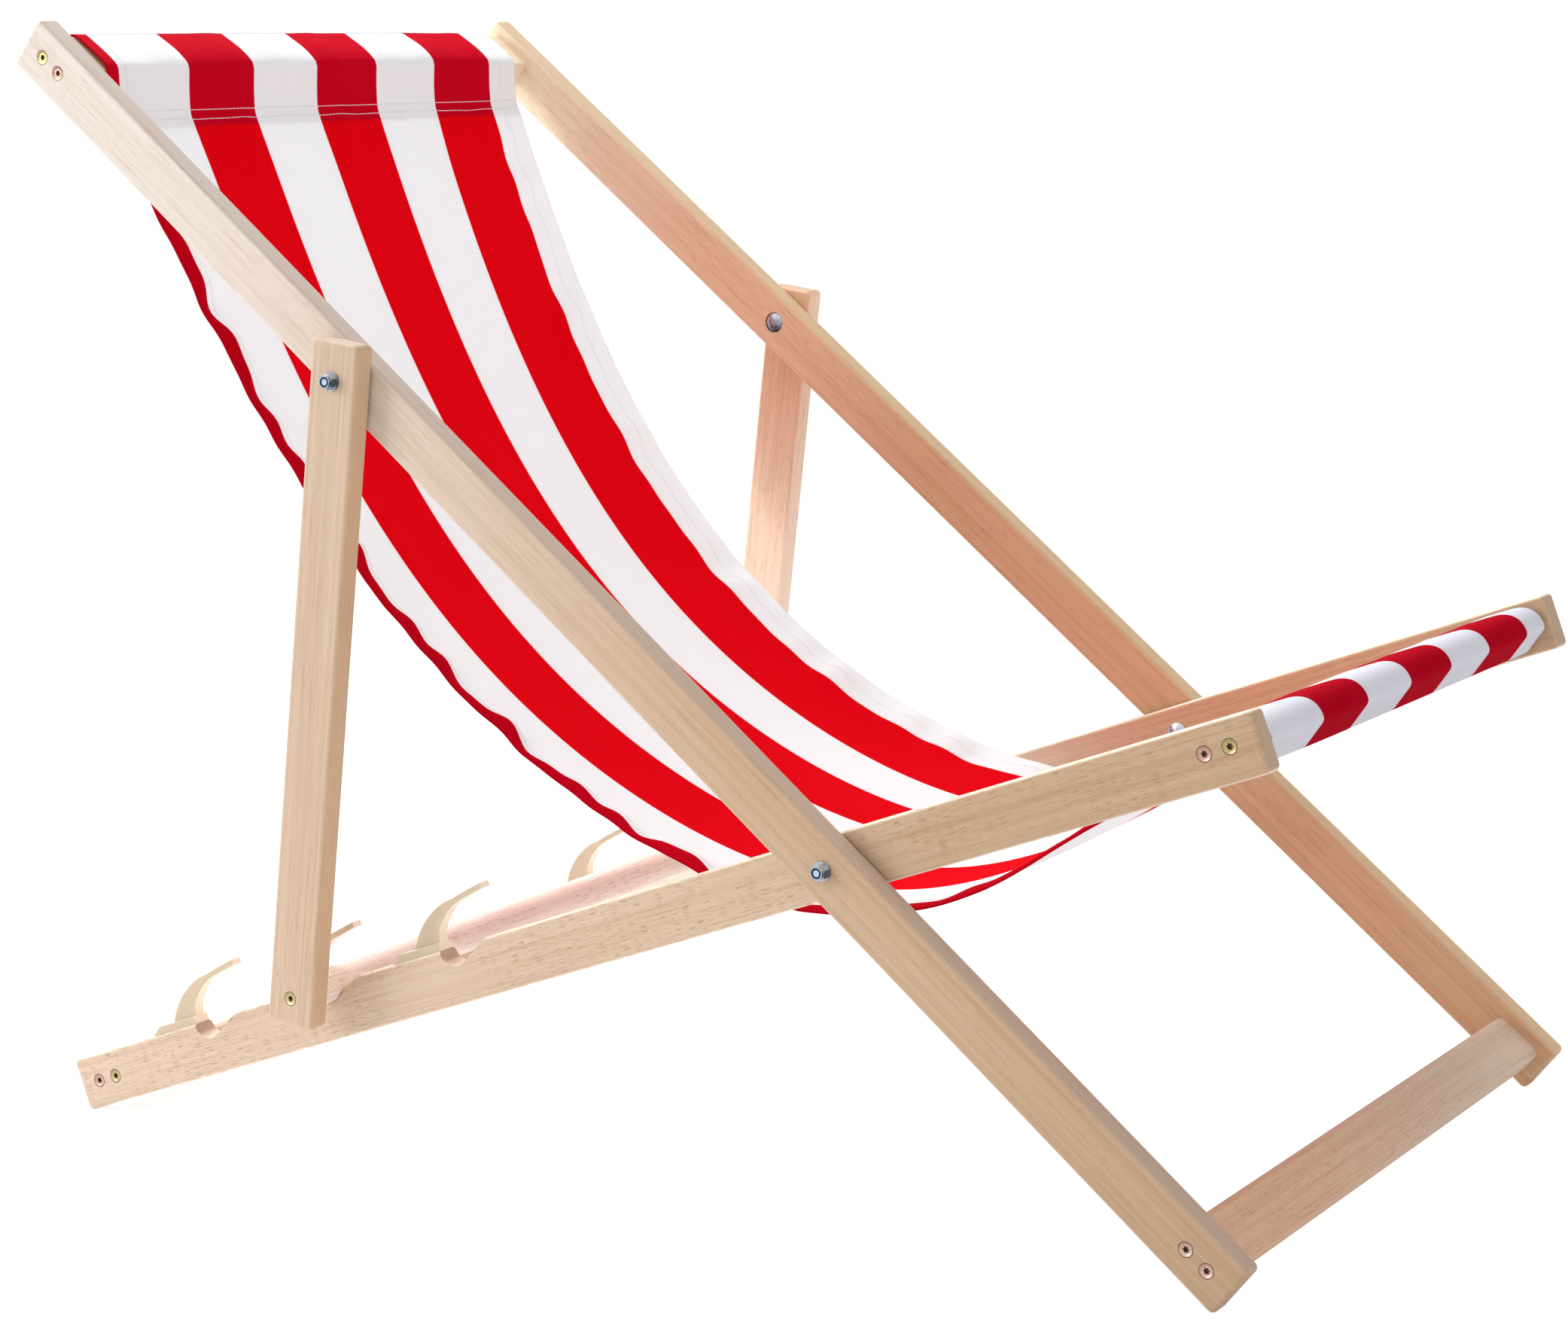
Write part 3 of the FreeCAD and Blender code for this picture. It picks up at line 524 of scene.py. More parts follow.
def screw_heads(cad_node, offsets, heads, recess):
    """Flat screw heads in their sunk holes, each with a dark rim and a lobed recess, both painted shade.

    The recess's radius is a circle's plus a cosine with one wave to a lobe. The heads'
    finishes alternate from screw to screw, and the recess's finish, painted shade, is on the dark rings too.
    """
    count = 48
    turn = np.arange(count) * 2 * math.pi / count
    lobes = RECESS_RADIUS * (1 + 0.20 * np.cos(RECESS_LOBES * turn))
    # From the sunk hole's wall over the wood's edge, across the head and into the recess
    rings = [(0.97 * HEAD_RADIUS, 0.0012), (1.13 * HEAD_RADIUS, 0.0),
             (1.11 * HEAD_RADIUS, -0.00008), (1.01 * HEAD_RADIUS, -0.00004),
             (0.95 * HEAD_RADIUS, 0.0000), (0.74 * HEAD_RADIUS, 0.0003),
             (0.68 * HEAD_RADIUS, 0.0005), (1.15 * lobes, 0.0005),
             (lobes, 0.0005), (0.95 * lobes, 0.0019), (0.85 * lobes, 0.0021)]
    # Painted shade: the rings round the head and the recess's walls and floor take the dark finish
    dark_rings = (0, 1, 2, 8, 9)
    points, quads, caps = turned_rings(cad_node, offsets, rings, count)
    piece = new_mesh_piece(cad_node + "_heads", points, quads + caps, smooth=False)
    for finish in (*heads, recess):
        piece.data.materials.append(finish)
    bands = len(rings) - 1
    dark = np.isin(np.arange(bands), dark_rings).repeat(count)
    index = [np.where(dark, len(heads), i % len(heads)) for i in range(len(caps))]
    index = np.concatenate([*index, np.full(len(caps), len(heads))])
    piece.data.polygons.foreach_set("material_index", index)
    ride_with(piece, cad_node)
    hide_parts(cad_node)


# Materials


def new_material(name):
    """A material with its node tree and its Principled BSDF."""
    material = bpy.data.materials.new(name)
    material.use_nodes = True
    tree = material.node_tree
    return material, tree, tree.nodes["Principled BSDF"]


def node(tree, kind, **values):
    """A node of a kind, with its properties and its inputs' constants set by name."""
    made = tree.nodes.new(kind)
    for key, value in values.items():
        if key in made.inputs:
            made.inputs[key].default_value = value
        else:
            setattr(made, key, value)
    return made


def calculate(tree, operation, *values):
    """A Math node over sockets and numbers."""
    made = tree.nodes.new("ShaderNodeMath")
    made.operation = operation
    for i, value in enumerate(values):
        if isinstance(value, (int, float)):
            made.inputs[i].default_value = value
        else:
            tree.links.new(value, made.inputs[i])
    return made.outputs[0]


def blended(tree, share, first, second):
    """A colour between two colours or colour sockets, by a share."""
    made = tree.nodes.new("ShaderNodeMix")
    made.data_type = "RGBA"
    for value, socket in ((share, made.inputs[0]), (first, made.inputs[6]), (second, made.inputs[7])):
        if isinstance(value, (int, float)):
            socket.default_value = value
        elif isinstance(value, tuple):
            socket.default_value = (*value, 1.0)
        else:
            tree.links.new(value, socket)
    return made.outputs[2]


def new_group(name, inputs, outputs):
    """A shader node group with named sockets, given as (name, type, default)."""
    group = bpy.data.node_groups.new(name, "ShaderNodeTree")
    for label, kind, value in inputs:
        socket = group.interface.new_socket(label, in_out="INPUT", socket_type=kind)
        if value is not None:
            socket.default_value = value
    for label, kind in outputs:
        group.interface.new_socket(label, in_out="OUTPUT", socket_type=kind)
    return group, group.nodes.new("NodeGroupInput"), group.nodes.new("NodeGroupOutput")


def smooth_step(tree, value, start, end):
    """A Map Range node that goes from 0 at start to 1 at end."""
    made = node(tree, "ShaderNodeMapRange", interpolation_type="SMOOTHSTEP")
    made.inputs["From Min"].default_value = start
    made.inputs["From Max"].default_value = end
    tree.links.new(value, made.inputs["Value"])
    return made.outputs["Result"]


def stretched_noise(tree, vector, scale, detail, roughness, offset=(0.0, 0.0, 0.0)):
    """Noise on a vector scaled by its own amount on each axis."""
    mapping = node(tree, "ShaderNodeMapping", Scale=scale, Location=offset)
    noise = node(tree, "ShaderNodeTexNoise", Scale=1.0, Detail=detail, Roughness=roughness)
    tree.links.new(vector, mapping.inputs["Vector"])
    tree.links.new(mapping.outputs[0], noise.inputs["Vector"])
    return noise.outputs["Fac"]


END_GRAIN = (0.41, 0.285, 0.215)


def beech_group():
    """Beech with its grain along Y: faint growth bands, pores, and short dark ray flecks."""
    group, given, out = new_group(
        "beech_grain",
        [("Vector", "NodeSocketVector", None), ("End Grain", "NodeSocketFloat", 0.0),
         ("Pale", "NodeSocketColor", (0.80, 0.66, 0.46, 1)),
         ("Warm", "NodeSocketColor", (0.70, 0.50, 0.30, 1)),
         ("Fleck", "NodeSocketColor", (0.36, 0.19, 0.10, 1)),
         ("Fleck Amount", "NodeSocketFloat", 0.5)],
        [("Color", "NodeSocketColor"), ("Roughness", "NodeSocketFloat"),
         ("Height", "NodeSocketFloat")])
    vector = given.outputs["Vector"]
    broad = stretched_noise(group, vector, (11.0, 1.2, 11.0), 2.0, 0.5)
    bands = stretched_noise(group, vector, (210.0, 1.5, 210.0), 3.0, 0.65)
    pores = stretched_noise(group, vector, (1000.0, 17.0, 1000.0), 1.0, 0.5)
    flecks = stretched_noise(group, vector, (2200.0, 105.0, 2200.0), 0.0, 0.5)
    patches = stretched_noise(group, vector, (30.0, 9.0, 30.0), 1.0, 0.5, (3.1, 7.7, 1.3))
    warm_share = calculate(
        group, "ADD",
        calculate(group, "MULTIPLY", smooth_step(group, broad, 0.34, 0.66), 0.45),
        calculate(group, "MULTIPLY", smooth_step(group, bands, 0.40, 0.64), 0.50))
    body = blended(group, warm_share, given.outputs["Pale"], given.outputs["Warm"])
    pore_share = calculate(group, "MULTIPLY", smooth_step(group, pores, 0.54, 0.72), 0.26)
    body = blended(group, pore_share, body, given.outputs["Fleck"])
    fleck_share = calculate(
        group, "MULTIPLY",
        calculate(group, "MULTIPLY", smooth_step(group, flecks, 0.64, 0.70),
                  smooth_step(group, patches, 0.30, 0.55)),
        given.outputs["Fleck Amount"])
    body = blended(group, fleck_share, body, given.outputs["Fleck"])
    end_share = calculate(group, "MULTIPLY", given.outputs["End Grain"], 0.65)
    body = blended(group, end_share, body, END_GRAIN)
    roughness = calculate(
        group, "ADD", calculate(group, "MULTIPLY", bands, 0.14),
        calculate(group, "ADD", 0.44, calculate(group, "MULTIPLY", pores, 0.10)))
    height = calculate(
        group, "SUBTRACT", calculate(group, "MULTIPLY", bands, 0.4),
        calculate(group, "ADD", calculate(group, "MULTIPLY", pore_share, 0.9), fleck_share))
    group.links.new(body, out.inputs["Color"])
    group.links.new(roughness, out.inputs["Roughness"])
    group.links.new(height, out.inputs["Height"])
    return group


BEECH = beech_group()


def beech(name, grain, offset, tones, flecks, edge_light_share, edge_light_tone):
    """Bare beech whose grain runs along a direction given as X, Y and Z.

    Each tone is a place along the grain with the pale and the warm colour there; going from
    tone to tone is painted light, paler where more light falls. The narrow edges, which face
    neither along the grain nor along X, take a share of their own tone, which is painted
    light: a painted highlight where it is paler and painted shade where it is darker.
    """
    material, tree, shader = new_material(name)
    place = node(tree, "ShaderNodeTexCoord")
    mapping = node(tree, "ShaderNodeMapping", vector_type="TEXTURE")
    grain = np.asarray(grain, float)
    if grain[0] == 1.0:
        mapping.inputs["Rotation"].default_value = (0.0, 0.0, -math.pi / 2)
    else:
        mapping.inputs["Rotation"].default_value = (math.atan2(grain[2], grain[1]), 0.0, 0.0)
    mapping.inputs["Location"].default_value = offset
    tree.links.new(place.outputs["Object"], mapping.inputs["Vector"])
    facing = node(tree, "ShaderNodeVectorMath", operation="DOT_PRODUCT")
    facing.inputs[1].default_value = tuple(grain)
    tree.links.new(place.outputs["Normal"], facing.inputs[0])
    end_grain = smooth_step(
        tree, calculate(tree, "ABSOLUTE", facing.outputs["Value"]), 0.72, 0.95)
    along_grain = node(tree, "ShaderNodeVectorMath", operation="DOT_PRODUCT")
    along_grain.inputs[1].default_value = tuple(grain)
    tree.links.new(place.outputs["Object"], along_grain.inputs[0])
    # The narrow edges' tone is painted light and shade, chosen by the way a face points
    edge = node(tree, "ShaderNodeVectorMath", operation="DOT_PRODUCT")
    edge.inputs[1].default_value = tuple(np.cross(grain, (1.0, 0.0, 0.0)))
    tree.links.new(place.outputs["Normal"], edge.inputs[0])
    edge = smooth_step(tree, calculate(tree, "ABSOLUTE", edge.outputs["Value"]), 0.45, 0.90)
    edge = calculate(tree, "MULTIPLY", edge, edge_light_share)
    wood = node(tree, "ShaderNodeGroup", node_tree=BEECH)
    # Tones blended along the grain are painted light: paler where more light falls on the part
    for i, label in ((1, "Pale"), (2, "Warm")):
        tone = tones[0][i]
        for before, after in zip(tones, tones[1:]):
            share = smooth_step(tree, along_grain.outputs["Value"], before[0], after[0])
            tone = blended(tree, share, tone, after[i])
        tree.links.new(blended(tree, edge, tone, edge_light_tone), wood.inputs[label])
    wood.inputs["Fleck Amount"].default_value = flecks
    tree.links.new(mapping.outputs[0], wood.inputs["Vector"])
    tree.links.new(end_grain, wood.inputs["End Grain"])
    bump = node(tree, "ShaderNodeBump", Strength=0.35, Distance=0.0002)
    tree.links.new(wood.outputs["Height"], bump.inputs["Height"])
    tree.links.new(wood.outputs["Color"], shader.inputs["Base Color"])
    tree.links.new(wood.outputs["Roughness"], shader.inputs["Roughness"])
    tree.links.new(bump.outputs[0], shader.inputs["Normal"])
    shader.inputs["Specular IOR Level"].default_value = 0.35
    return material


def weave_group():
    """Plain weave of warp and weft threads on a UV map in metres, with slubs."""
    group, given, out = new_group(
        "plain_weave",
        [("Vector", "NodeSocketVector", None), ("Pitch", "NodeSocketFloat", 0.0007)],
        [("Height", "NodeSocketFloat"), ("Shade", "NodeSocketFloat")])
    split = node(group, "ShaderNodeSeparateXYZ")
    group.links.new(given.outputs["Vector"], split.inputs[0])
    waves = []
    for axis in ("X", "Y"):
        turns = calculate(group, "DIVIDE", split.outputs[axis], given.outputs["Pitch"])
        waves.append(calculate(group, "SINE", calculate(group, "MULTIPLY", turns, math.pi)))
    over = calculate(group, "MULTIPLY", waves[0], waves[1])
    height = calculate(group, "ABSOLUTE", over)
    slubs = stretched_noise(group, given.outputs["Vector"], (60.0, 700.0, 1.0), 2.0, 0.6)
    cloud = stretched_noise(group, given.outputs["Vector"], (12.0, 9.0, 1.0), 3.0, 0.55)
    shade = calculate(
        group, "ADD", calculate(group, "MULTIPLY", slubs, 0.35),
        calculate(group, "MULTIPLY", cloud, 0.65))
    group.links.new(height, out.inputs["Height"])
    group.links.new(shade, out.inputs["Shade"])
    return group


WEAVE = weave_group()


# The canvas's colours, each as its darker and its lighter thread. The deep red and the grey
# white are painted shade on double cloth, and the crest colours painted shade on the top sleeve's crest
CLEAR_RED = ((0.80, 0.0, 0.0060), (0.90, 0.0, 0.0120))
DEEP_RED_SHADE = ((0.52, 0.0, 0.0120), (0.62, 0.0, 0.0190))
CLEAR_WHITE = ((0.96, 0.97, 0.99), (0.99, 0.99, 1.00))
GREY_WHITE_SHADE = ((0.86, 0.86, 0.93), (0.89, 0.89, 0.95))
CREST_RED_SHADE = (0.37, 0.0, 0.026)
CREST_WHITE_SHADE = (0.445, 0.435, 0.53)


def canvas_material():
    """Striped cotton canvas: stripes, side hems and sleeves by the cloth's own UV map.

    Double cloth is painted deeper in tone as painted shade, most on the top sleeve's crest,
    which faces up. Some light comes through the cloth, and less through the sleeve on its bar.
    """
    material, tree, shader = new_material("striped_canvas")
    cloth = node(tree, "ShaderNodeUVMap", uv_map="UVMap")
    split = node(tree, "ShaderNodeSeparateXYZ")
    tree.links.new(cloth.outputs[0], split.inputs[0])
    across, place = split.outputs["X"], split.outputs["Y"]
    soft = 0.0004
    hem_soft = 0.0006
    sleeve_soft = 0.001
    red_share = calculate(tree, "SUBTRACT", 1.0, smooth_step(
        tree, across, STRIPES[0] - soft, STRIPES[0] + soft))
    for start, end in zip(STRIPES[1::2], STRIPES[2::2]):
        band = calculate(
            tree, "MULTIPLY", smooth_step(tree, across, start - soft, start + soft),
            calculate(tree, "SUBTRACT", 1.0, smooth_step(tree, across, end - soft, end + soft)))
        red_share = calculate(tree, "MAXIMUM", red_share, band)
    far_hem = CANVAS_WIDTH - SIDE_HEM
    hem = calculate(
        tree, "MAXIMUM",
        calculate(tree, "SUBTRACT", 1.0, smooth_step(
            tree, across, SIDE_HEM - hem_soft, SIDE_HEM + hem_soft)),
        smooth_step(tree, across, far_hem - hem_soft, far_hem + hem_soft))
    top_end = TOP_JOIN + HEM_END - SLEEVE_JOIN
    front_start = FRONT_JOIN - HEM_END + SLEEVE_JOIN
    top_sleeve = calculate(tree, "SUBTRACT", 1.0, smooth_step(
        tree, place, top_end - sleeve_soft, top_end + sleeve_soft))
    front_sleeve = smooth_step(tree, place, front_start - sleeve_soft, front_start + sleeve_soft)
    weave = node(tree, "ShaderNodeGroup", node_tree=WEAVE)
    tree.links.new(cloth.outputs[0], weave.inputs["Vector"])
    shade = weave.outputs["Shade"]
    # Painted shade: the sleeves and the side hems, as double cloth, take the deeper colours
    sleeves = calculate(
        tree, "ADD", calculate(tree, "MULTIPLY", top_sleeve, 0.82), front_sleeve)
    double_cloth_shade = calculate(tree, "MAXIMUM", sleeves, calculate(tree, "MULTIPLY", hem, 0.8))
    reds = blended(
        tree, double_cloth_shade, blended(tree, shade, *CLEAR_RED), blended(tree, shade, *DEEP_RED_SHADE))
    whites = blended(
        tree, front_sleeve, blended(tree, shade, *CLEAR_WHITE), blended(tree, shade, *GREY_WHITE_SHADE))
    facing = node(tree, "ShaderNodeSeparateXYZ")
    tree.links.new(node(tree, "ShaderNodeTexCoord").outputs["Normal"], facing.inputs[0])
    # Painted shade on the top sleeve's crest, where the cloth faces up
    crest = calculate(
        tree, "MULTIPLY", top_sleeve, smooth_step(tree, facing.outputs["Z"], 0.84, 1.0))
    reds = blended(tree, crest, reds, CREST_RED_SHADE)
    whites = blended(tree, crest, whites, CREST_WHITE_SHADE)
    colour = blended(tree, red_share, whites, reds)
    bump = node(tree, "ShaderNodeBump", Strength=0.5, Distance=0.00012)
    tree.links.new(weave.outputs["Height"], bump.inputs["Height"])
    tree.links.new(colour, shader.inputs["Base Color"])
    tree.links.new(bump.outputs[0], shader.inputs["Normal"])
    shader.inputs["Roughness"].default_value = 0.9
    shader.inputs["Specular IOR Level"].default_value = 0.04
    glow = node(tree, "ShaderNodeBsdfTranslucent")
    tree.links.new(colour, glow.inputs["Color"])
    mix = node(tree, "ShaderNodeMixShader")
    through = calculate(tree, "SUBTRACT", 0.34, calculate(tree, "MULTIPLY", top_sleeve, 0.28))
    tree.links.new(through, mix.inputs[0])
    tree.links.new(shader.outputs[0], mix.inputs[1])
    tree.links.new(glow.outputs[0], mix.inputs[2])
    tree.links.new(mix.outputs[0], tree.nodes["Material Output"].inputs["Surface"])
    return material


def thread_material():
    """White cotton sewing thread with a fine twist."""
    material, tree, shader = new_material("white_thread")
    place = node(tree, "ShaderNodeTexCoord")
    twist = stretched_noise(tree, place.outputs["Object"], (2500.0, 2500.0, 2500.0), 1.0, 0.5)
    colour = blended(tree, twist, (0.72, 0.70, 0.74), (0.92, 0.91, 0.94))
    tree.links.new(colour, shader.inputs["Base Color"])
    shader.inputs["Roughness"].default_value = 0.75
    return material


PALE_CUT = (0.40, 0.52, 0.66)
# The dark ring of a bolt's chamfer is painted shade
CHAMFER_SHADE = (0.025, 0.045, 0.10)


def plated_metal(name, bright, dull, dark, roughness, axis=None, cut_at=0.266):
    """Plated steel: painted shade by the way a face points, darker where it faces down, with patches of dull plate
    and fine scratches.

    Where an axis is given, by its Y and Z, it is a bolt's. Its cut ends, past the given X on
    both sides, are pale inside a chamfer painted dark as painted shade.
    """
    material, tree, shader = new_material(name)
    place = node(tree, "ShaderNodeTexCoord")
    facing = node(tree, "ShaderNodeVectorMath", operation="DOT_PRODUCT")
    facing.inputs[1].default_value = (0.0, 0.25, 0.97)
    tree.links.new(place.outputs["Normal"], facing.inputs[0])
    each = stretched_noise(tree, place.outputs["Object"], (47.0, 47.0, 47.0), 0.0, 0.5)
    mottle = stretched_noise(tree, place.outputs["Object"], (420.0, 420.0, 420.0), 3.0, 0.6)
    grit = stretched_noise(tree, place.outputs["Object"], (3500.0, 3500.0, 3500.0), 2.0, 0.6)
    plate = blended(tree, smooth_step(tree, each, 0.40, 0.60), bright, dull)
    # Painted shade: darker where a face points down and lighter where it points up, with the mottle
    shaded = calculate(
        tree, "ADD", facing.outputs["Value"],
        calculate(tree, "MULTIPLY", calculate(tree, "SUBTRACT", mottle, 0.5), 0.9))
    colour = blended(tree, smooth_step(tree, shaded, -0.60, 0.85), dark, plate)
    if axis is not None:
        offset = node(tree, "ShaderNodeVectorMath", operation="SUBTRACT")
        offset.inputs[1].default_value = (0.0, *axis)
        tree.links.new(place.outputs["Object"], offset.inputs[0])
        split = node(tree, "ShaderNodeSeparateXYZ")
        tree.links.new(offset.outputs["Vector"], split.inputs[0])
        radius = calculate(tree, "SQRT", calculate(
            tree, "ADD", calculate(tree, "MULTIPLY", split.outputs["Y"], split.outputs["Y"]),
            calculate(tree, "MULTIPLY", split.outputs["Z"], split.outputs["Z"])))
        cut = blended(tree, smooth_step(tree, radius, 0.0019, 0.0024), PALE_CUT, CHAMFER_SHADE)
        past = smooth_step(
            tree, calculate(tree, "ABSOLUTE", split.outputs["X"]), cut_at - 0.001, cut_at + 0.001)
        colour = blended(tree, past, colour, cut)
    tree.links.new(colour, shader.inputs["Base Color"])
    polish = calculate(
        tree, "ADD", roughness,
        calculate(tree, "MULTIPLY", calculate(tree, "SUBTRACT", mottle, 0.5), 0.25))
    tree.links.new(polish, shader.inputs["Roughness"])
    bump = node(tree, "ShaderNodeBump", Strength=0.15, Distance=0.00005)
    tree.links.new(grit, bump.inputs["Height"])
    tree.links.new(bump.outputs[0], shader.inputs["Normal"])
    shader.inputs["Metallic"].default_value = 1.0
    return material


def painted_recess_shade():
    """Painted shade in the bottom of a screw's recess and on the dark rings round its head."""
    material, tree, shader = new_material("recess_painted_shade")
    place = node(tree, "ShaderNodeTexCoord")
    shade_noise = stretched_noise(tree, place.outputs["Object"], (900.0, 900.0, 900.0), 2.0, 0.5)
    colour = blended(tree, shade_noise, (0.030, 0.016, 0.010), (0.15, 0.085, 0.045))
    tree.links.new(colour, shader.inputs["Base Color"])
    shader.inputs["Roughness"].default_value = 0.5
    shader.inputs["Metallic"].default_value = 0.4
    return material


def moulded_plastic(name, web, rim, glow):
    """Moulded plastic with soft shine and a faint moulding texture.

    Faces that look along X have the web's colour and the others the rim's, which is lighter as
    a painted highlight on the rims.
    """
    material, tree, shader = new_material(name)
    place = node(tree, "ShaderNodeTexCoord")
    cloud = stretched_noise(tree, place.outputs["Object"], (38.0, 38.0, 38.0), 2.0, 0.5)
    grain = stretched_noise(tree, place.outputs["Object"], (1800.0, 1800.0, 1800.0), 1.0, 0.5)
    split = node(tree, "ShaderNodeSeparateXYZ")
    tree.links.new(place.outputs["Normal"], split.inputs[0])
    # Painted highlight: faces that do not look along X take the lighter rim colour
    along_x = smooth_step(tree, calculate(tree, "ABSOLUTE", split.outputs["X"]), 0.5, 0.9)
    deep = tuple(0.94 * value for value in web)
    colour = blended(tree, along_x, rim, blended(tree, cloud, deep, web))
    tree.links.new(colour, shader.inputs["Base Color"])
    shine = calculate(tree, "ADD", 0.36, calculate(tree, "MULTIPLY", cloud, 0.14))
    tree.links.new(shine, shader.inputs["Roughness"])
    bump = node(tree, "ShaderNodeBump", Strength=0.12, Distance=0.00006)
    tree.links.new(grain, bump.inputs["Height"])
    tree.links.new(bump.outputs[0], shader.inputs["Normal"])
    shader.inputs["Subsurface Weight"].default_value = glow
    shader.inputs["Subsurface Radius"].default_value = (0.004, 0.003, 0.002)
    shader.inputs["Subsurface Scale"].default_value = 1.0
    return material


ALONG_LONG = (0.0, *LONG_DIRECTION)
ALONG_SEAT = (0.0, *SEAT_DIRECTION)
ALONG_PROP = (0.0, *PROP_DIRECTION)
ACROSS = (1.0, 0.0, 0.0)

# The beech: colours of the narrow edges, painted highlight where pale and painted shade where dark,
# then a pale and a warm colour for each tone. The honey and blush tones are paler as painted light
GREY_EDGE_SHADE = (0.46, 0.36, 0.31)
PALE_EDGE_HIGHLIGHT = (0.93, 0.80, 0.66)
TAN_EDGE_SHADE = (0.58, 0.40, 0.25)
KHAKI_EDGE_SHADE = (0.62, 0.46, 0.28)
CREAM = ((0.77, 0.70, 0.64), (0.69, 0.60, 0.51))
STRAW = ((0.60, 0.42, 0.28), (0.50, 0.33, 0.19))
SAND = ((0.67, 0.53, 0.41), (0.57, 0.42, 0.30))
ROSY = ((0.73, 0.46, 0.30), (0.63, 0.36, 0.21))
MILKY = ((0.69, 0.54, 0.42), (0.60, 0.44, 0.32))
HONEY = ((0.90, 0.74, 0.55), (0.84, 0.66, 0.47))
PEACH = ((0.92, 0.60, 0.39), (0.82, 0.50, 0.31))
TAWNY = ((0.72, 0.46, 0.27), (0.61, 0.35, 0.19))
WHEAT = ((0.71, 0.55, 0.40), (0.61, 0.44, 0.30))
BLUSH = ((0.90, 0.79, 0.70), (0.85, 0.71, 0.60))
AMBER = ((0.68, 0.41, 0.25), (0.58, 0.32, 0.175))
OAT = ((0.64, 0.49, 0.36), (0.55, 0.39, 0.27))

# Each piece's grain, its pattern's offset, its tones with their places along the grain as painted light,
# the strength of its flecks, and the share and the tone of its narrow edges as painted light and shade
WOOD = {
    "long_rail_right": (ALONG_LONG, (0.13, 0.0, 0.0), ((0.05, *STRAW), (0.80, *CREAM)),
                        0.22, 0.60, GREY_EDGE_SHADE),
    "long_rail_left": (ALONG_LONG, (1.37, 0.9, 0.0), ((0.30, *TAWNY), (0.52, *PEACH), (0.85, *HONEY)),
                       0.30, 0.75, KHAKI_EDGE_SHADE),
    "seat_rail_right": (ALONG_SEAT, (2.71, 1.3, 0.0), ((-0.36, *STRAW), (-0.24, *WHEAT), (0.30, *MILKY)),
                        0.70, 0.80, PALE_EDGE_HIGHLIGHT),
    "seat_rail_left": (ALONG_SEAT, (3.19, 2.2, 0.0), ((-0.58, *STRAW), (-0.33, *AMBER), (0.15, *BLUSH)),
                       0.35, 0.75, PALE_EDGE_HIGHLIGHT),
    "prop_right": (ALONG_PROP, (4.43, 3.1, 0.0), ((0.0, *OAT),), 0.25, 1.0, TAN_EDGE_SHADE),
    "prop_left": (ALONG_PROP, (5.91, 4.4, 0.0), ((-0.55, *PEACH), (-0.10, *BLUSH)), 0.30, 0.40, PALE_EDGE_HIGHLIGHT),
    # The top bar's honey tone is painted light, paler against the shade of the sleeve and the rails
    "top_crossbar": (ACROSS, (0.0, 5.3, 0.4), ((0.0, *HONEY),), 0.20, 0.0, PALE_EDGE_HIGHLIGHT),
    "bottom_slat": (ACROSS, (0.0, 6.1, 1.7), ((-0.2, *ROSY), (0.2, *SAND)), 0.40, 0.0, PALE_EDGE_HIGHLIGHT),
    "front_crossbar": (ACROSS, (0.0, 7.7, 2.3), ((0.0, *MILKY),), 0.30, 0.0, PALE_EDGE_HIGHLIGHT),
    "rear_crossbar": (ACROSS, (0.0, 8.9, 3.9), ((0.0, *MILKY),), 0.30, 0.0, PALE_EDGE_HIGHLIGHT),
    # The dowel's blush tone is painted light, paler where light washes it out
    "prop_dowel": (ACROSS, (0.0, 9.3, 4.1), ((0.0, *BLUSH),), 0.45, 0.0, PALE_EDGE_HIGHLIGHT),
}

for name, look in WOOD.items():
    frame["nodes"][name].data.materials.clear()
    frame["nodes"][name].data.materials.append(beech(f"beech_{name}", *look))

# Each plate's bright and dull colours, the colour of its painted shade, and its roughness
ZINC_TONES = ((0.84, 0.87, 0.92), (0.74, 0.78, 0.86), (0.10, 0.13, 0.19), 0.26)
ZINC = plated_metal("bright_zinc", *ZINC_TONES)
MAIN_BOLT_ZINC = plated_metal("main_bolt_zinc", *ZINC_TONES, axis=MAIN_BOLT)
PROP_BOLT_ZINC = plated_metal("prop_bolt_zinc", *ZINC_TONES, axis=PROP_BOLT)
YELLOW_ZINC = plated_metal(
    "yellow_zinc", (0.80, 0.72, 0.42), (0.66, 0.56, 0.26), (0.30, 0.24, 0.10), 0.36)
ROSY_ZINC = plated_metal(
    "rosy_zinc", (0.84, 0.66, 0.52), (0.68, 0.42, 0.34), (0.34, 0.19, 0.15), 0.36)
IVORY = moulded_plastic("ivory_plastic", (0.59, 0.48, 0.345), (0.88, 0.79, 0.64), 0.25)
NYLON = moulded_plastic("blue_nylon", (0.010, 0.022, 0.060), (0.025, 0.045, 0.105), 0.0)
RECESS_SHADE = painted_recess_shade()

# Each node's finish, by the first of these words that its name holds
FINISHES = {"hook": IVORY, "nut_ring": NYLON, "nut": ZINC, "washer": ZINC, "spacer": ZINC,
            "main_bolt": MAIN_BOLT_ZINC, "prop_bolt": PROP_BOLT_ZINC}

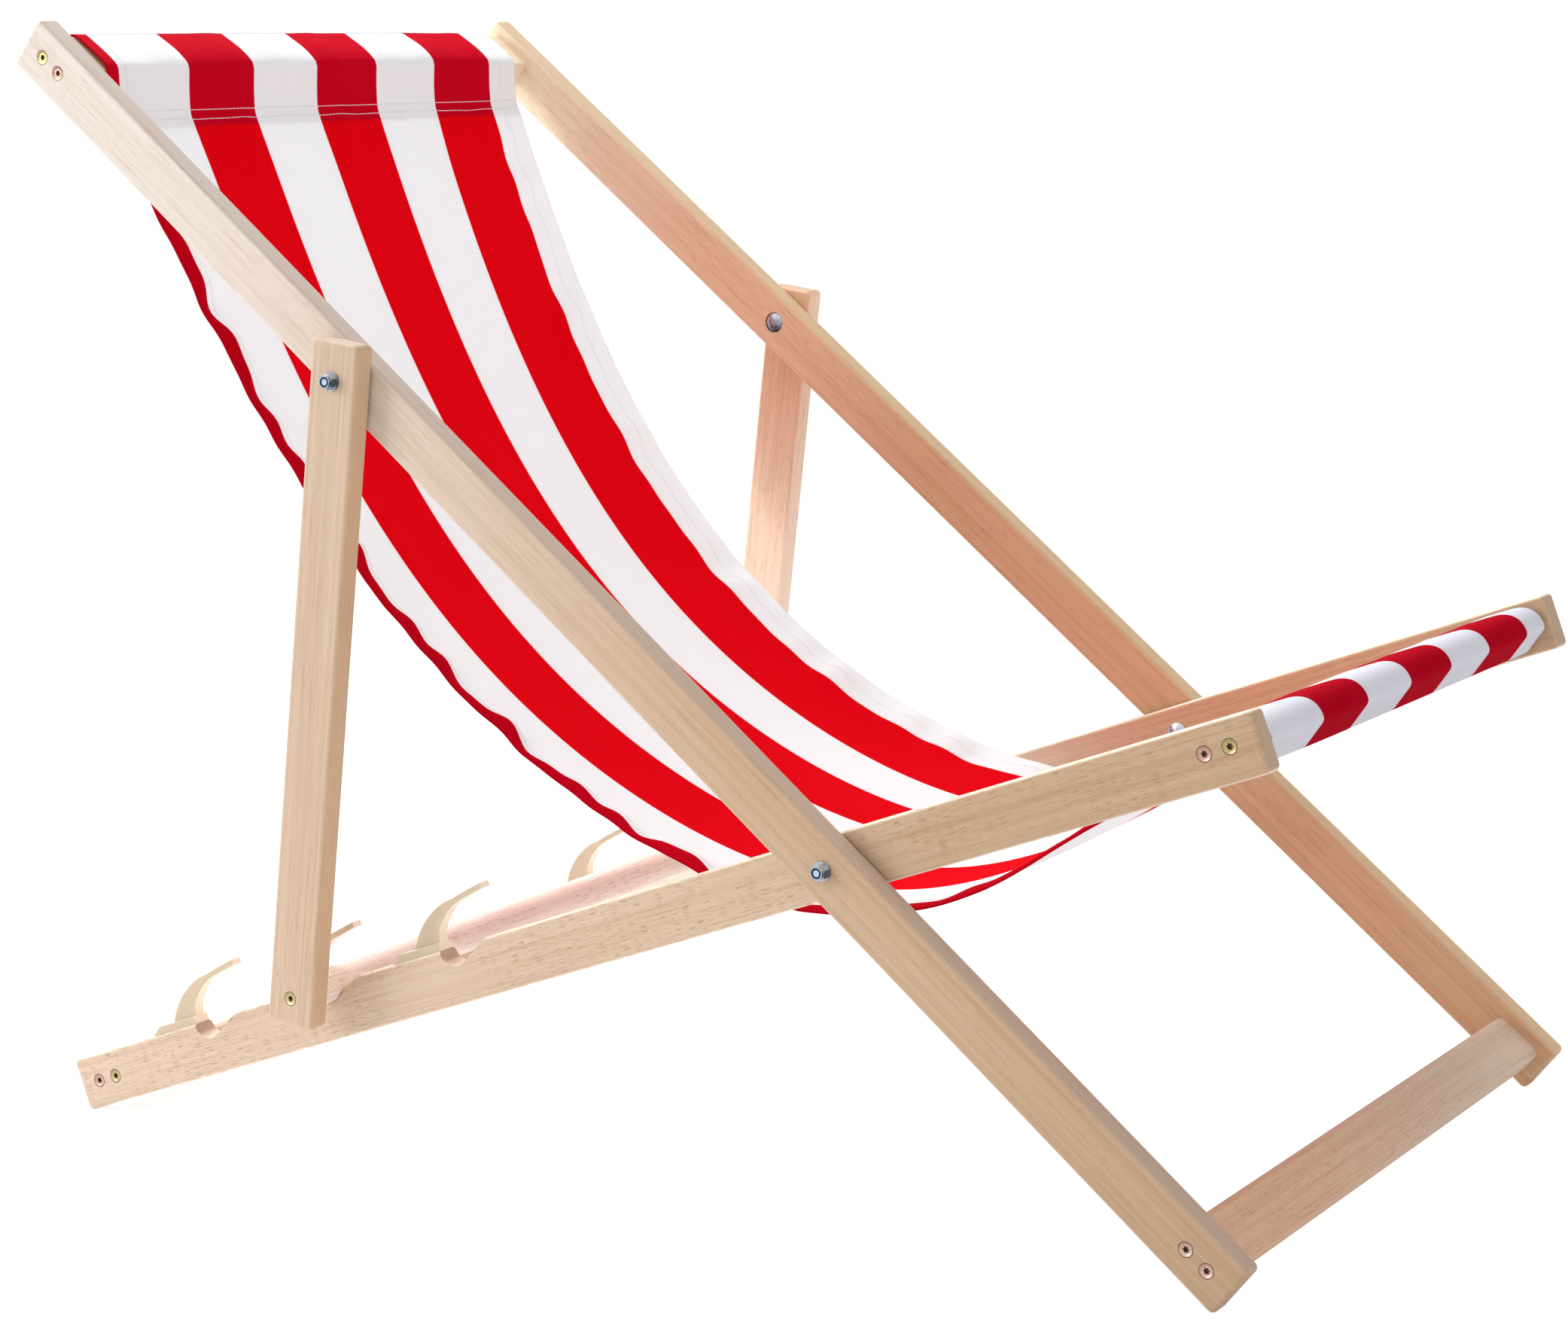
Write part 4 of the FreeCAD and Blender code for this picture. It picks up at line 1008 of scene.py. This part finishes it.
for name, piece in frame["nodes"].items():
    finish = next((finish for word, finish in FINISHES.items() if word in name), None)
    if finish:
        piece.data.materials.clear()
        piece.data.materials.append(finish)
    elif "screw" in name:
        run = SEAT_DIRECTION if name.startswith(("front", "rear")) else LONG_DIRECTION
        spread = (0.0,) if "dowel" in name else (-SCREW_SPACING / 2, SCREW_SPACING / 2)
        first = ROSY_ZINC if "top" in name or "slat" in name else YELLOW_ZINC
        heads = (first, YELLOW_ZINC if "top" in name else ROSY_ZINC)
        screw_heads(name, [distance * run for distance in spread], heads, RECESS_SHADE)

# The canvas and its sewing

canvas = canvas_piece()
canvas.data.materials.append(canvas_material())
stitching = stitching_piece()
stitching.data.materials.append(thread_material())
for piece in (canvas, stitching):
    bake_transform(piece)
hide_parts("canvas_seat")

# Floor, light and camera


def floor_piece():
    """A plain pale floor that the camera and reflections see lifted towards white."""
    size = FLOOR_HALF_SIZE
    points = [(-size, -size, 0), (size, -size, 0), (size, size, 0), (-size, size, 0)]
    floor = new_mesh_piece("floor", points, [(0, 1, 2, 3)], smooth=False)
    material, tree, shader = new_material("pale_floor")
    shader.inputs["Base Color"].default_value = (0.93, 0.93, 0.93, 1.0)
    shader.inputs["Roughness"].default_value = 0.9
    shader.inputs["Specular IOR Level"].default_value = 0.1
    path = node(tree, "ShaderNodeLightPath")
    seen = calculate(tree, "MAXIMUM", path.outputs["Is Camera Ray"], path.outputs["Is Glossy Ray"])
    glow = node(tree, "ShaderNodeEmission", Strength=FLOOR_GLOW)
    mix = node(tree, "ShaderNodeMixShader")
    tree.links.new(calculate(tree, "MULTIPLY", seen, FLOOR_GLOW_SHARE), mix.inputs[0])
    tree.links.new(shader.outputs[0], mix.inputs[1])
    tree.links.new(glow.outputs[0], mix.inputs[2])
    tree.links.new(mix.outputs[0], tree.nodes["Material Output"].inputs["Surface"])
    floor.data.materials.append(material)


def white_world(strength):
    """Even white light, seen by the camera and in reflections at a strength of 1."""
    world = bpy.data.worlds.new("studio")
    bpy.context.scene.world = world
    world.use_nodes = True
    tree = world.node_tree
    background = tree.nodes["Background"]
    background.inputs["Color"].default_value = (1.0, 1.0, 1.0, 1.0)
    path = node(tree, "ShaderNodeLightPath")
    seen = calculate(tree, "MAXIMUM", path.outputs["Is Camera Ray"], path.outputs["Is Glossy Ray"])
    lift = calculate(tree, "ADD", strength, calculate(tree, "MULTIPLY", seen, 1.0 - strength))
    tree.links.new(lift, background.inputs["Strength"])


def look_along(thing, place, forward, roll=0.0):
    """Put a camera or lamp at a place, looking along a direction, turned about it by roll."""
    forward = np.asarray(forward, float) / np.linalg.norm(forward)
    right = np.cross(forward, (0.0, 0.0, 1.0))
    right /= np.linalg.norm(right)
    up = np.cross(right, forward)
    turned_right = math.cos(roll) * right + math.sin(roll) * up
    turned_up = -math.sin(roll) * right + math.cos(roll) * up
    matrix = np.eye(4)
    matrix[:3, 0] = turned_right
    matrix[:3, 1] = turned_up
    matrix[:3, 2] = -forward
    matrix[:3, 3] = place
    thing.matrix_world = matrix.T.tolist()


def lamp(name, place, aim, size, power):
    """A soft square white lamp that faces a point."""
    data = bpy.data.lights.new(name, "AREA")
    data.shape = "SQUARE"
    data.size = size
    data.energy = power
    light = bpy.data.objects.new(name, data)
    bpy.context.scene.collection.objects.link(light)
    look_along(light, place, np.subtract(aim, place))


def photo_camera():
    """The photograph's view, through a long lens whose middle is off the picture's."""
    yaw, pitch, roll = (math.radians(angle) for angle in CAMERA_ANGLES)
    forward = (math.sin(yaw) * math.cos(pitch), math.cos(yaw) * math.cos(pitch), math.sin(pitch))
    width, height = PHOTO_SIZE
    data = bpy.data.cameras.new("camera")
    data.sensor_width = SENSOR_WIDTH
    data.lens = SENSOR_WIDTH * FOCAL_LENGTH / width
    data.shift_x = (width / 2 - LENS_CENTRE[0]) / width
    data.shift_y = (LENS_CENTRE[1] - height / 2) / width
    camera = bpy.data.objects.new("camera", data)
    bpy.context.scene.collection.objects.link(camera)
    look_along(camera, CAMERA_PLACE, forward, roll)
    bpy.context.scene.camera = camera


floor_piece()
white_world(WORLD_LIGHT)
for name, settings in LAMPS.items():
    lamp(name, *settings)
photo_camera()
bpy.context.scene.view_settings.view_transform = "Standard"
